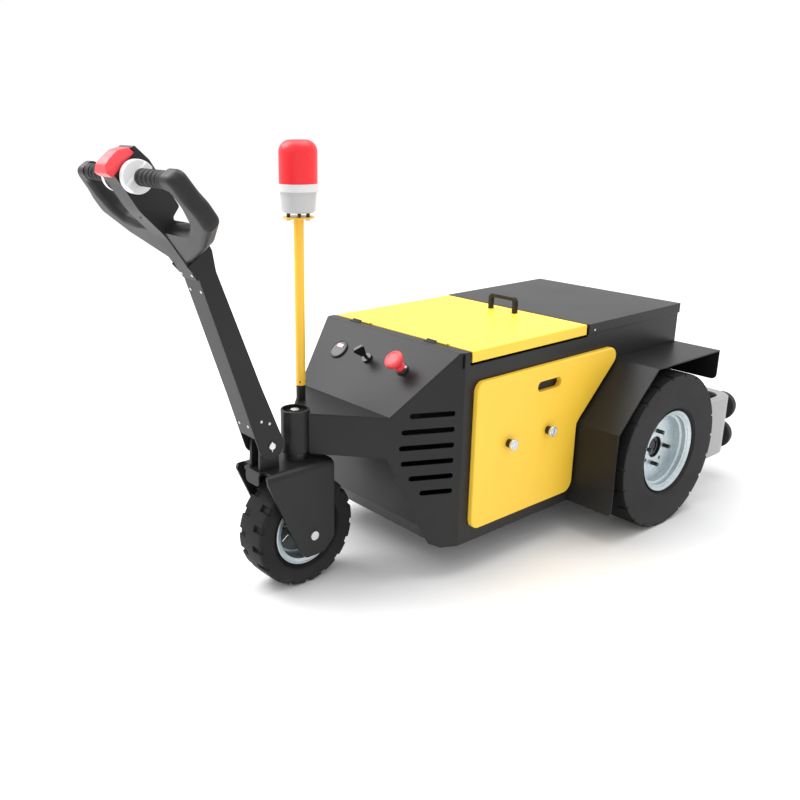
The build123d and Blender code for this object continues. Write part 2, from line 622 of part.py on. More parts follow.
# Drive: axle tube with its gearbox and motor in one plain block, and the stub axles
casing_end = rear_x + REAR_HUB_IN - FIT
stub_end = rear_x + REAR_HUB_OUT - 3
drive = block(-90, 90, -75, 95, REAR_R - 80, REAR_R + 95)
drive = drive + rod_x(AXLE_R * 1.7, -casing_end, casing_end, 0, REAR_R)
drive = drive + rod_x(AXLE_R, -stub_end, stub_end, 0, REAR_R)
floor_top = FLOOR_Z + CORNER_R / 2 + SHEET
cradle = block(60, 80, -60, REAR_Y - SHEET, floor_top, REAR_R - 80)
nodes["rear_axle"] = drive + cradle + right_of(cradle)
bx, by, bz = BATTERY
nodes["battery"] = block(-bx / 2, bx / 2, BATTERY_Y - by / 2, BATTERY_Y + by / 2, floor_top, floor_top + bz)

# Tiller. The arm is drawn in its own upright plane: Q forward from the pivot's line, S along the arm.
arm_plane = Plane(
    origin=(0, PIVOT_Y, PIVOT_Z),
    x_dir=(0, -cos(radians(ARM_TILT)), -sin(radians(ARM_TILT))),
    z_dir=(-1, 0, 0),
)


ARM_FRONT = [(ARM_DEEP, 0), (ARM_MID, ARM_MID_S), (ARM_TOP_FRONT, ARM_LEN)]
ARM_BACK = [(-ARM_TOP_BACK, ARM_LEN), (-ARM_MID, ARM_MID_S), (-ARM_DEEP, 0)]
CHEEK = [(32.6, 436.0), (-27.2, 452.3), (-28.3, 442.8)]    # top corners of the side plates, beside the head
inner = ARM_HALF_W - ARM_WALL
arm_body = extrude(arm_plane * outline(ARM_FRONT + ARM_BACK), ARM_HALF_W, both=True)
cheeks = extrude(arm_plane * outline([ARM_FRONT[-1], *CHEEK, ARM_BACK[0]]), ARM_HALF_W, both=True)
arm = arm_body + cheeks + rod_x(ARM_DEEP, -ARM_HALF_W, ARM_HALF_W, PIVOT_Y, PIVOT_Z)
far = 3 * ARM_DEEP
arm = arm - extrude(arm_plane * outline([
    (far, -far),
    (far, ARM_LEN + far),
    (-far, ARM_LEN + far),
    (-far, ARM_LEN),
    (-ARM_TOP_BACK + ARM_WALL, ARM_LEN),
    (-ARM_MID + ARM_WALL, ARM_MID_S),
    (-ARM_DEEP + ARM_WALL, ARM_DEEP),
    (-far, ARM_DEEP - 10),
    (-far, -far),
]), inner, both=True)
arm = arm - rod_x(PIVOT_R, -ARM_HALF_W - 1, ARM_HALF_W + 1, PIVOT_Y, PIVOT_Z)
nodes["tiller_arm"] = arm
cover_foot = ARM_DEEP - (ARM_DEEP - ARM_MID) * ARM_COVER_S / ARM_MID_S
cover_line = [(cover_foot, ARM_COVER_S), *ARM_FRONT[1:]]
nodes["arm_cover"] = extrude(arm_plane * band(cover_line, ARM_WALL), inner, both=True)
pivot = rod_x(PIVOT_R, -PIVOT_OUT, PIVOT_OUT, PIVOT_Y, PIVOT_Z)
pivot = chamfer(pivot.edges().filter_by(GeomType.CIRCLE), 1)
for x in (-PIVOT_OUT + 2.5, PIVOT_OUT - 2.5):
    pivot = pivot + rod_z(1.3, PIVOT_Z - 12, PIVOT_Z + 10, x, PIVOT_Y)
nodes["tiller_pivot"] = pivot

# Tiller head. side_plane draws (O, T) and front_plane draws (X, T).
lean = radians(HEAD_TILT)
t_dir = Vector(0, -sin(lean), cos(lean))
o_dir = Vector(0, -cos(lean), -sin(lean))
head_at = Vector(0, HEAD_Y, HEAD_Z)
side_plane = Plane(origin=head_at, x_dir=o_dir, z_dir=(-1, 0, 0))
front_plane = Plane(origin=head_at, x_dir=(1, 0, 0), z_dir=t_dir.cross(Vector(-1, 0, 0)))
spine = extrude(side_plane * rounded([
    (18, -26),
    (18, 12),
    (17.5, 80),
    (29.7, 150),
    (28, 205),
    (29, 225),
    (-26, 233),
    (-27, 243),
    (-33, 243),
    (-41, 208),
    (-38, 108),
    (-14, 100),
    (-24, -26),
], (0, 60, 120, 90, 40, 1, 0, 0, 2, 20, 6, 8, 0)), SPINE_HALF_W, both=True)
wing_face = rounded([
    (GRIP_OUT, GRIP_T + GRIP_R),
    (HEAD_HALF_W - 16, GRIP_T + GRIP_R),
    (HEAD_HALF_W - 10, 172),
    (HEAD_HALF_W, 150),
    (HEAD_HALF_W + 1, 113),
    (141, 65),
    (ARM_HALF_W + 1, 12.5),
    (10, 12.5),
    (10, 90),
    (SPINE_HALF_W, 90),
    (125, 104),
    (150, 124),
    (161, 160),
    (158, GRIP_T - GRIP_R),
    (GRIP_OUT, GRIP_T - GRIP_R),
], (0, 20, 40, 40, 18, 60, 0, 0, 0, 0, 30, 16, 30, 4, 0))
wing = extrude(front_plane * Pos(0, 0, -WING_BACK) * wing_face, WING_BACK + WING_FRONT)
rims = [e for e in wing.edges() if abs(abs((e @ 0.5 - head_at).dot(o_dir)) - (WING_BACK + WING_FRONT) / 2) < 4]
rims = [e for e in rims if (e @ 0.5).X > SPINE_HALF_W + 4 and abs((e % 0.5).dot(t_dir)) < 2]
rims = [e for e in rims if abs((e @ 0.5).X - GRIP_OUT) > 0.01]
wing = fillet(rims, WING_ROUND)
head = spine + wing + right_of(wing)
cheek_room = extrude(arm_plane * offset(outline([ARM_FRONT[-1], *CHEEK, ARM_BACK[0]]), FIT), ARM_HALF_W + FIT, both=True)
cheek_room = cheek_room - block(FIT - inner, inner - FIT, HEAD_Y - 300, HEAD_Y + 300, 0, HEAD_Z + 300)
foot_room = extrude(arm_plane * Pos(0, ARM_LEN / 2 + FIT) * Rectangle(far, ARM_LEN), ARM_HALF_W + FIT, both=True)
nodes["tiller_head"] = head - cheek_room - foot_room

grip_y = HEAD_Y + t_dir.Y * GRIP_T
grip_z = HEAD_Z + t_dir.Z * GRIP_T
grip = rod_x(GRIP_R - 1.5, GRIP_IN, GRIP_OUT, grip_y, grip_z)
for i in range(GRIP_RIBS):
    start = GRIP_IN + RIB_PITCH * (i + 0.4)
    grip = grip + rod_x(GRIP_R, start, start + RIB_PITCH * 0.6, grip_y, grip_z)
grip = grip + rod_x(GRIP_R, GRIP_IN + RIB_PITCH * (GRIP_RIBS + 0.4), GRIP_OUT, grip_y, grip_z)
nodes["grips"] = both_sides(grip)
disc = rod_x(DISC_R, DISC_IN, DISC_OUT, grip_y, grip_z)
disc = chamfer(disc.edges().filter_by(GeomType.CIRCLE).group_by(Axis.X)[-1], 3)
for x0, x1 in ((SPINE_HALF_W, DISC_IN), (DISC_OUT, GRIP_IN)):
    disc = disc + rod_x(GRIP_R - 4, x0, x1, grip_y, grip_z)
nodes["thumb_discs"] = both_sides(disc)
button = extrude(side_plane * outline([
    (-25.6, 233.4),
    (-24.5, 245),
    (-6, 252.5),
    (14, 251),
    (28, 247.5),
    (37, 236),
    (33, 225),
    (29.5, 224),
    (29.5, 225.4),
]), BUTTON_HALF_W, both=True)
button_front = outline([
    (-BUTTON_HALF_W, 200),
    (BUTTON_HALF_W, 200),
    (BUTTON_HALF_W, 237),
    (BUTTON_HALF_W - 11, 256),
    (11 - BUTTON_HALF_W, 256),
    (-BUTTON_HALF_W, 237),
])
nodes["belly_button"] = button & extrude(front_plane * button_front, 80, both=True)

# Beacon: pole, mounting plate with three spacers and their nuts, base, collar and lens
pole = rod_z(POLE_R, SOCKET_TOP_Z, POLE_TOP_Z, POLE_X, POLE_Y)
pole = pole - rod_z(POLE_R - POLE_WALL, SOCKET_TOP_Z, POLE_TOP_Z, POLE_X, POLE_Y)
plate = rod_z(BEACON_R - 5, POLE_TOP_Z, POLE_TOP_Z + SHEET, POLE_X, POLE_Y)
beacon_pole = pole + plate
base = revolve(Plane.XZ * outline([
    (0, BEACON_BASE_Z),
    (BEACON_R - 6, BEACON_BASE_Z),
    (BEACON_R - 3, BEACON_BASE_Z + 4),
    (BEACON_R, BEACON_COLLAR_Z),
    (BEACON_R + 4, BEACON_COLLAR_Z + 1),
    (BEACON_R + 4, LENS_Z),
    (0, LENS_Z),
]), Axis.Z, 360)
base = Pos(POLE_X, POLE_Y, 0) * base
for turn in (20, 140, 260):
    x = POLE_X + SPACER_AT * cos(radians(turn))
    y = POLE_Y + SPACER_AT * sin(radians(turn))
    base = base + rod_z(4, POLE_TOP_Z + SHEET, BEACON_BASE_Z, x, y)
    beacon_pole = beacon_pole + Pos(x, y, POLE_TOP_Z - 4) * extrude(RegularPolygon(5, 6), 4)
nodes["beacon_pole"] = beacon_pole
nodes["beacon_base"] = base
lens = rod_z(LENS_R, LENS_Z, LENS_TOP_Z, POLE_X, POLE_Y)
nodes["beacon_lens"] = fillet(lens.edges().filter_by(GeomType.CIRCLE).group_by(Axis.Z)[-1], LENS_ROUND)

# Controls, seated in their holes in the sloped panel
gauge = control_row * Pos(GAUGE_X, 0, -8) * Cylinder(GAUGE_R - FIT, 16)
bezel = control_row * Pos(GAUGE_X, 0, 0) * extrude(Circle(GAUGE_R + 1.5), 3.5)
bezel = chamfer(bezel.edges().filter_by(GeomType.CIRCLE).sort_by(Axis.Z)[-1], 2)
display = control_row * Pos(GAUGE_X, GAUGE_R * 0.4, 0) * extrude(Rectangle(GAUGE_R, GAUGE_R * 0.5), 4)
nodes["battery_gauge"] = gauge + bezel + display
key = control_row * Pos(KEY_X, 0, -8) * Cylinder(KEY_R - FIT, 16)
key = key + control_row * Pos(KEY_X, 0, 3) * Cylinder(KEY_R + 2.5, 6)
key = key + control_row * Pos(KEY_X, 0, 12) * Cylinder(4, 20)
bow = control_row * Pos(KEY_X, 0, 0) * Rot(0, 0, 50) * Rot(90, 0, 0) * extrude(outline([
    (-6, 17),
    (6, 17),
    (14, 40),
    (10, 44),
    (-10, 44),
    (-14, 40),
]), 4, both=True)
nodes["key_switch"] = key + bow
stop = control_row * Pos(STOP_X, 0, -8) * Cylinder(STOP_R - FIT, 16)
stop = stop + control_row * Pos(STOP_X, 0, 0) * extrude(Circle(STOP_R + 4), 4)
stem = revolve(Plane.XZ * outline([
    (0, 0),
    (STOP_R + 1, 0),
    (STOP_R - 1, STOP_REACH * 0.55),
    (STOP_CAP_R - 4, STOP_REACH * 0.66),
    (STOP_CAP_R, STOP_REACH * 0.76),
    (STOP_CAP_R, STOP_REACH * 0.9),
    (STOP_CAP_R - 4, STOP_REACH),
    (STOP_CAP_R - 6, STOP_REACH),
    (0, STOP_REACH - 4),
]), Axis.Z, 360)
nodes["stop_button"] = stop + control_row * Pos(STOP_X, 0, 0) * stem

# Rear bumper: a galvanised sheet wrapped round its ends, carried by two arms, with rubber buffers


def bumper_face(inset):
    """Plan of the bumper between its outer line and a line parallel to it, both open towards the machine."""
    lines = []
    for step in (0, inset):
        x = BUMPER_HALF_W - step
        y = BUMPER_REAR_Y - step
        corners = ((x, BUMPER_FRONT_Y), (x, y), (-x, y), (-x, BUMPER_FRONT_Y))
        lines.append(FilletPolyline(*corners, radius=BUMPER_R - step))
    outer, inside = lines
    ends = [Line(outer @ 0, inside @ 0), Line(outer @ 1, inside @ 1)]
    return make_face([*outer.edges(), *inside.edges(), *ends])


bumper = upward(bumper_face(BUMPER_T), BUMPER_LOW_Z, BUMPER_HIGH_Z)
flange_face = bumper_face(BUMPER_FLANGE)
bumper = bumper + upward(flange_face, BUMPER_LOW_Z, BUMPER_LOW_Z + BUMPER_T)
bumper = bumper + upward(flange_face, BUMPER_HIGH_Z - BUMPER_T, BUMPER_HIGH_Z)
bumper_arm = block(120, 170, REAR_Y, BUMPER_REAR_Y - BUMPER_T, HITCH_Z - 35, HITCH_Z + 35)
bumper_arm = bumper_arm - block(125, 165, REAR_Y + 6, BUMPER_REAR_Y - BUMPER_T - 6, HITCH_Z - 30, HITCH_Z + 36)
nodes["rear_bumper"] = bumper + bumper_arm + right_of(bumper_arm)
buffer = Pos(0, BUFFER_FOOT, 0) * (Sphere(BUFFER_R) & block(-99, 99, 0, 99, -99, 99))
buffer = buffer + Pos(0, BUFFER_FOOT / 2, 0) * Rot(90, 0, 0) * Cylinder(BUFFER_R, BUFFER_FOOT)
buffers = []
for z in BUFFER_ZS:
    buffers += [Pos(side * BUFFER_X, BUMPER_REAR_Y, z) * buffer for side in (-1, 1)]
nodes["rubber_buffers"] = Compound(children=buffers)
hitch_y = BUMPER_REAR_Y + HITCH_REACH - HITCH_HALF_W
jaw_out = HITCH_GAP / 2 + HITCH_T
jaw = block(-HITCH_HALF_W, HITCH_HALF_W, BUMPER_REAR_Y, hitch_y, HITCH_Z - jaw_out, HITCH_Z + jaw_out)
jaw = jaw + rod_z(HITCH_HALF_W, HITCH_Z - jaw_out, HITCH_Z + jaw_out, 0, hitch_y)
jaw = jaw - block(-100, 100, BUMPER_REAR_Y + HITCH_T, 600, HITCH_Z - HITCH_GAP / 2, HITCH_Z + HITCH_GAP / 2)
jaw = jaw - rod_z(TOW_PIN_R + FIT, HITCH_Z - jaw_out, HITCH_Z + jaw_out, 0, hitch_y)
nodes["tow_jaw"] = jaw
pin = rod_z(TOW_PIN_R, HITCH_Z - jaw_out - 12, HITCH_Z + jaw_out + 4, 0, hitch_y)
pin = pin + rod_z(TOW_PIN_R + 6, HITCH_Z + jaw_out, HITCH_Z + jaw_out + 6, 0, hitch_y)
nodes["tow_pin"] = pin

# Set the origin under the middle of the machine and write every piece
front_y = min(piece.bounding_box().min.Y for piece in nodes.values())
rear_y = max(piece.bounding_box().max.Y for piece in nodes.values())
middle = Pos(0, -(front_y + rear_y) / 2, 0)
print("origin moved by", -(front_y + rear_y) / 2)
os.makedirs("parts", exist_ok=True)
for name, piece in nodes.items():
    export_step(middle * piece, "parts/" + name + ".step")
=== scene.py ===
"""Looks of the electric trailer tug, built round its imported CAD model. Metres, in the model's own frame."""

import json
import math

import bmesh
import bpy
import numpy as np
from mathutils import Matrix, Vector


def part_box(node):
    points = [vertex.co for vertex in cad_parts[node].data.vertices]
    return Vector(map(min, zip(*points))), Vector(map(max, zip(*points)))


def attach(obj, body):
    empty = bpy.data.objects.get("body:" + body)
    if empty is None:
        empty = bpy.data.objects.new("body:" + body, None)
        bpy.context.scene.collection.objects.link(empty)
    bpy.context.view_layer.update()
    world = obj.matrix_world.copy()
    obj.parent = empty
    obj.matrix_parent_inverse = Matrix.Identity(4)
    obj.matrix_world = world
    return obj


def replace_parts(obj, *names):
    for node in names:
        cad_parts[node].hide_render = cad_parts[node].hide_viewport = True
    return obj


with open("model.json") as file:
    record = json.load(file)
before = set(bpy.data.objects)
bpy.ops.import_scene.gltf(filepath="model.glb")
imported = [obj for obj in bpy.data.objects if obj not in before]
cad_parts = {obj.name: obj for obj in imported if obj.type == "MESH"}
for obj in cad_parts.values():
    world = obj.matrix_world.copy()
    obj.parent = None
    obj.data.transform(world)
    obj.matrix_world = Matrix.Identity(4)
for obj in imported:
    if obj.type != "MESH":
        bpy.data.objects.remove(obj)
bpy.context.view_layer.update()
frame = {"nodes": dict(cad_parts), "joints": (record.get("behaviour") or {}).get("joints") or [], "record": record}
NODES = frame["nodes"]
JOINTS = {joint["name"]: joint for joint in frame["joints"]}

MM = 0.001
SHARP = math.radians(32.0)     # edges between faces that meet at more than this stay sharp
SIDES = (1, -1)                # left and right of the machine, along X
OUTWARD = [(1, 0, 0), (-1, 0, 0)]     # directions away from the machine on those sides

# Points of the machine that the new pieces and the finishes are set from
REAR_AXLE = np.array(JOINTS["rear_wheel_left_spin"]["pos_m"])
FRONT_AXLE = np.array(JOINTS["front_wheel_spin"]["pos_m"])
TILLER_PIVOT = np.array(JOINTS["tiller_tilt"]["pos_m"])
ARM_LEAN = math.radians(20.0)  # lean of the tiller's arm from the upright
PANEL_RISE = 134.0             # the control panel's rise over its run, which give its slope
PANEL_RUN = 137.0
SPINDLE_FACE_Z = 0.4025        # the steering spindle is bright above this height, at its nut
BEACON_FOOT_Z = 0.8236         # the beacon's base stands on dark spacers that end at this height
BEACON_COLLAR_Z = 0.867        # lower edge of the base's bright collar
REAR_TREAD_SHADE_RADIUS = 0.2015     # beyond this radius the rear tyres' rubber is painted darker: painted shade of the mudguard over the tread

SMOOTH = (1800.0, 0.02 * MM)   # grain's lumps to a metre and its depth on a smooth moulding
SHOP_DUST = (0.085, 0.080, 0.075)


def middle(node):
    """Middle of a node's box."""
    low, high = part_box(node)
    return (np.array(low) + np.array(high)) / 2


class Link:
    """One output socket of a material. Arithmetic on it adds Math nodes, and add() makes any other node."""

    def __init__(self, tree, socket=None):
        self.tree = tree
        self.socket = socket

    def add(self, kind, settings=None, sockets=None, out=0):
        """A node of a kind: its settings are set first, then its sockets take values or links."""
        node = self.tree.nodes.new(kind)
        for name, value in (settings or {}).items():
            setattr(node, name, value)
        for name, value in (sockets or {}).items():
            if isinstance(value, Link):
                self.tree.links.new(value.socket, node.inputs[name])
            else:
                node.inputs[name].default_value = value
        return Link(self.tree, node.outputs[out])

    def math(self, operation, a, b=0.0):
        return self.add("ShaderNodeMath", {"operation": operation}, {0: a, 1: b})

    def __add__(self, other):
        return self.math("ADD", self, other)

    __radd__ = __add__

    def __mul__(self, other):
        return self.math("MULTIPLY", self, other)

    __rmul__ = __mul__

    def __sub__(self, other):
        return self.math("SUBTRACT", self, other)

    def __rsub__(self, other):
        return self.math("SUBTRACT", other, self)

    def __pow__(self, other):
        return self.math("POWER", self, other)


def noise(place, scale, detail=3.0, roughness=0.5):
    """Smooth noise between 0 and 1, with the given number of lumps to a metre."""
    sockets = {"Vector": place, "Scale": scale, "Detail": detail, "Roughness": roughness}
    return place.add("ShaderNodeTexNoise", {}, sockets)


def mix(a, b, factor):
    """Colour that goes from a to b as the factor goes from 0 to 1."""
    return factor.add("ShaderNodeMix", {"data_type": "RGBA"}, {0: factor, 6: a, 7: b}, out=2)


def step(value, low, high):
    """0 below low, 1 above high, and smooth between them."""
    sockets = {"Value": value, "From Min": low, "From Max": high}
    return value.add("ShaderNodeMapRange", {"interpolation_type": "SMOOTHSTEP"}, sockets)


def bump(height, distance, strength, edge):
    """Normal of a surface with soft edges, raised by a height from 0 to 1 over a distance in metres."""
    sockets = {"Height": height, "Distance": distance, "Strength": strength, "Normal": edge}
    return height.add("ShaderNodeBump", {}, sockets)


def soft_edge(place, radius):
    """Normal that rounds sharp edges by a radius."""
    return place.add("ShaderNodeBevel", {"samples": 4}, {"Radius": radius})


def xyz(place):
    """The three numbers of a position."""
    split = place.add("ShaderNodeSeparateXYZ", {}, {0: place}).socket.node
    return [Link(place.tree, split.outputs[i]) for i in range(3)]


def off_axle(place, axle):
    """Distance from the line of an axle, which lies along X."""
    _, y, z = xyz(place)
    return ((y - axle[1]) ** 2.0 + (z - axle[2]) ** 2.0) ** 0.5


def colour(r, g, b):
    return (r, g, b, 1.0)


def material(name, paint, **constants):
    """A material whose sockets take constants, and what paint() works out from the place on the piece."""
    made = bpy.data.materials.new(name)
    made.use_nodes = True
    shader = made.node_tree.nodes["Principled BSDF"]
    place = Link(made.node_tree).add("ShaderNodeTexCoord", out="Object")
    for socket, value in constants.items():
        shader.inputs[socket.replace("_", " ")].default_value = value
    for socket, value in paint(place).items():
        made.node_tree.links.new(value.socket, shader.inputs[socket])
    return made


def painted(dark, light, dust_colour, rough=(0.34, 0.44), radius=2.2 * MM):
    """Powder coat: two close tones in soft clouds, an orange-peel skin, and dust low down near the wheels."""

    def paint(place):
        clouds = noise(place, 6.0, 4.0)
        peel = noise(place, 420.0, 2.0)
        _, _, z = xyz(place)
        dust = (1.0 - step(z, 0.05, 0.30)) * noise(place, 30.0, 6.0, 0.65) * 0.35
        tone = mix(colour(*dark), colour(*light), step(clouds, 0.3, 0.7))
        return {
            "Base Color": mix(tone, colour(*dust_colour), dust * 0.4),
            "Roughness": rough[0] + (rough[1] - rough[0]) * clouds + dust * 0.3,
            "Normal": bump(peel, 0.12 * MM, 0.35, soft_edge(place, radius)),
        }

    return paint


def moulded(dark, light, grain_size=1400.0, depth=0.05 * MM, rough=(0.38, 0.52), radius=1.2 * MM):
    """Moulded plastic: an even colour with a fine leathery grain."""

    def paint(place):
        clouds = noise(place, 11.0, 3.0)
        pebbles = place.add("ShaderNodeTexVoronoi", {}, {"Vector": place, "Scale": grain_size})
        return {
            "Base Color": mix(colour(*dark), colour(*light), clouds),
            "Roughness": rough[0] + (rough[1] - rough[0]) * clouds,
            "Normal": bump(pebbles, depth, 0.5, soft_edge(place, radius)),
        }

    return paint


def rubber(dark, light, grain_size=700.0, shade=None):
    """Vulcanised rubber: matt, with a fine grain and dust where it meets the floor.

    shade is an axle and a radius: beyond it the rubber is painted darker and rougher, painted shade for a tread in
    its mudguard's shadow.
    """

    def paint(place):
        clouds = noise(place, 14.0, 5.0, 0.6)
        grain = noise(place, grain_size, 3.0)
        _, _, z = xyz(place)
        dust = (1.0 - step(z, 0.0, 0.10)) * clouds
        tone = mix(colour(*dark), colour(*light), clouds)
        tone = mix(tone, colour(0.10, 0.098, 0.095), dust * 0.3)
        rough = 0.55 + clouds * 0.2
        if shade is not None:
            axle, radius = shade
            # painted shade: beyond the radius the tread is darkened, standing in for its mudguard's shadow
            painted_tread_shade = step(off_axle(place, axle), radius - MM, radius)
            tone = mix(tone, colour(0.002, 0.002, 0.002), painted_tread_shade * 0.85)
            rough = rough + painted_tread_shade * 0.3
        return {
            "Base Color": tone,
            "Roughness": rough,
            "Normal": bump(grain, 0.12 * MM, 0.6, soft_edge(place, 1.5 * MM)),
        }

    return paint


def spangle(place, size, depth):
    """Zinc on steel: flat crystals in close tones with a soft sheen. Gives its sockets and the shade."""
    crystals = place.add("ShaderNodeTexVoronoi", {}, {"Vector": place, "Scale": size}, out="Color")
    tone = place.add("ShaderNodeSeparateColor", {}, {0: crystals})
    shade = tone * 0.5 + noise(place, 18.0, 3.0) * 0.5
    sockets = {
        "Roughness": 0.34 + shade * 0.14,
        "Normal": bump(tone, depth, 0.3, soft_edge(place, 1.5 * MM)),
    }
    return sockets, shade


def zinc_rim(axle, hub_radius, disc=None):
    """A zinc-plated rim with a black hub. disc is a radius and a dark tone painted on the rim's disc inside it:
    painted shade of the deep dish.
    """

    def paint(place):
        sockets, shade = spangle(place, 170.0, 0.05 * MM)
        plate = mix(colour(0.46, 0.53, 0.56), colour(0.66, 0.72, 0.74), shade)
        reach = off_axle(place, axle)
        if disc is not None:
            dish_shade_radius, dish_shade_tone = disc
            # painted shade: inside the radius the disc takes a dark tone, for the shade in the rim's deep dish
            plate = mix(colour(*dish_shade_tone), plate, step(reach, dish_shade_radius, dish_shade_radius + 2 * MM))
        outside_hub = step(reach, hub_radius, hub_radius + MM)
        sockets["Base Color"] = mix(colour(0.012, 0.012, 0.013), plate, outside_hub)
        sockets["Metallic"] = outside_hub * 0.85
        return sockets

    return paint


def zinc_plate(place):
    """The bumper's zinc: a fine spangle in two close tones."""
    sockets, shade = spangle(place, 260.0, 0.04 * MM)
    sockets["Base Color"] = mix(colour(0.33, 0.33, 0.335), colour(0.39, 0.39, 0.395), shade)
    return sockets


def bright(place):
    """Turned and plated steel: fine wear and little roughness."""
    scratches = noise(place, 260.0, 4.0, 0.7)
    return {
        "Base Color": mix(colour(0.50, 0.52, 0.54), colour(0.80, 0.82, 0.83), scratches),
        "Roughness": 0.2 + scratches * 0.2,
        "Normal": bump(scratches, 0.04 * MM, 0.4, soft_edge(place, 0.8 * MM)),
    }


def spindle_dark_below(place):
    """Bright steel at the nut on top, and near-black steel below it."""
    sockets = bright(place)
    _, _, z = xyz(place)
    nut = step(z, SPINDLE_FACE_Z, SPINDLE_FACE_Z + 0.8 * MM)
    sockets["Base Color"] = mix(colour(0.02, 0.02, 0.021), colour(0.72, 0.74, 0.75), nut)
    sockets["Metallic"] = nut
    return sockets


def beacon_white(place):
    """The beacon's base: a bright collar over a greyer tapered body, on dark spacers."""
    sockets = moulded((0.47, 0.47, 0.48), (0.52, 0.52, 0.53), *SMOOTH, (0.26, 0.34))(place)
    _, _, z = xyz(place)
    collar = step(z, BEACON_COLLAR_Z - 0.6 * MM, BEACON_COLLAR_Z)
    above_spacers = step(z, BEACON_FOOT_Z, BEACON_FOOT_Z + 0.6 * MM)
    tone = mix(colour(0.50, 0.50, 0.51), colour(0.70, 0.70, 0.70), collar)
    sockets["Base Color"] = mix(colour(0.015, 0.015, 0.016), tone, above_spacers)
    return sockets


BLACK_PAINT = material(
    "black powder coat",
    painted((0.0095, 0.0095, 0.0100), (0.0130, 0.0130, 0.0135), SHOP_DUST),
    Specular_IOR_Level=0.28,
)
LID_PAINT = material(
    "yellow powder coat",
    painted((0.93, 0.60, 0.040), (0.97, 0.64, 0.048), (0.55, 0.36, 0.06)),
)
PANEL_FINISH = material(
    "golden moulded panel",
    moulded((0.94, 0.585, 0.045), (0.97, 0.62, 0.052), rough=(0.42, 0.52), radius=3 * MM),
)
POLE_PAINT = material(
    "golden pole paint",
    painted((0.86, 0.49, 0.03), (0.92, 0.55, 0.04), (0.5, 0.3, 0.05), (0.25, 0.34)),
)
REAR_ZINC = material("zinc rear rim", zinc_rim(REAR_AXLE, 28.1 * MM))
# the front rim's disc inside 58 mm is painted dark: painted shade of its deep dish
FRONT_ZINC = material("zinc front rim", zinc_rim(FRONT_AXLE, 28 * MM, (58 * MM, (0.10, 0.115, 0.12))))
ZINC = material("zinc bumper", zinc_plate, Metallic=0.35)
STEEL = material("bright steel", bright, Metallic=1.0)
KNOB_STEEL = material("polished knob", bright, Metallic=0.9)
SPINDLE = material("spindle dark below", spindle_dark_below)
FRONT_RUBBER = material(
    "front tyre rubber",
    rubber((0.008, 0.008, 0.0085), (0.013, 0.013, 0.0135)),
    Specular_IOR_Level=0.22,
)
REAR_RUBBER = material(
    "rear tyre rubber",
    rubber((0.010, 0.010, 0.0105), (0.015, 0.015, 0.0155), shade=(REAR_AXLE, REAR_TREAD_SHADE_RADIUS)),
    Specular_IOR_Level=0.26,
)
BUFFER = material(
    "buffer rubber",
    rubber((0.020, 0.020, 0.021), (0.028, 0.028, 0.029)),
    Specular_IOR_Level=0.35,
)
GRIP = material(
    "grip rubber",
    rubber((0.010, 0.010, 0.011), (0.015, 0.015, 0.016), 1500.0),
    Specular_IOR_Level=0.35,
)
HEAD = material(
    "black moulding",
    moulded((0.0105, 0.0100, 0.0108), (0.0145, 0.0140, 0.0148), radius=2 * MM),
    Specular_IOR_Level=0.34,
)
DISC_WHITE = material(
    "white moulding",
    moulded((0.70, 0.70, 0.71), (0.78, 0.78, 0.79), *SMOOTH, (0.26, 0.34)),
)
BEACON_WHITE = material("beacon base", beacon_white)
RED = material(
    "red moulding",
    moulded((0.80, 0.045, 0.06), (0.88, 0.06, 0.075), *SMOOTH, (0.30, 0.38), 6 * MM),
)
LENS = material(
    "red lens",
    moulded((0.80, 0.010, 0.018), (0.86, 0.014, 0.024), 900.0, 0.01 * MM, (0.34, 0.42)),
)
GLOSS_BLACK = material(
    "gloss black",
    moulded((0.008, 0.008, 0.009), (0.014, 0.014, 0.015), *SMOOTH, (0.2, 0.3)),
)
# near-black plates for the body's slits: painted shade in place of open cuts
SLIT_SHADE = material(
    "painted slit shade",
    moulded((0.0015, 0.0015, 0.0015), (0.003, 0.003, 0.003)),
    Specular_IOR_Level=0.05,
)
CASTING = material("cast housing", rubber((0.03, 0.03, 0.032), (0.06, 0.06, 0.06), 300.0))

FINISH_OF_SLOT = {
    "body_black": BLACK_PAINT,
    "lid_yellow": LID_PAINT,
    "panel_yellow": PANEL_FINISH,
    "pole_yellow": POLE_PAINT,
    "galvanised": ZINC,
    "bright_steel": STEEL,
    "tyre_rubber": FRONT_RUBBER,
    "buffer_rubber": BUFFER,
    "grip_rubber": GRIP,
    "head_plastic": HEAD,
    "white_plastic": DISC_WHITE,
    "red_plastic": RED,
    "red_lens": LENS,
    "black_plastic": GLOSS_BLACK,
    "cast_drive": CASTING,
    "battery_case": HEAD,
}
FINISH_OF_NODE = {
    "rear_rim_left": REAR_ZINC,
    "rear_rim_right": REAR_ZINC,
    "front_rim": FRONT_ZINC,
    "steering_spindle": SPINDLE,
    "beacon_base": BEACON_WHITE,
}
for part in frame["record"]["subparts"]:
    mesh = NODES[part["node"]].data
    mesh.materials.clear()
    mesh.materials.append(FINISH_OF_NODE.get(part["node"], FINISH_OF_SLOT[part["material_slot"]]))


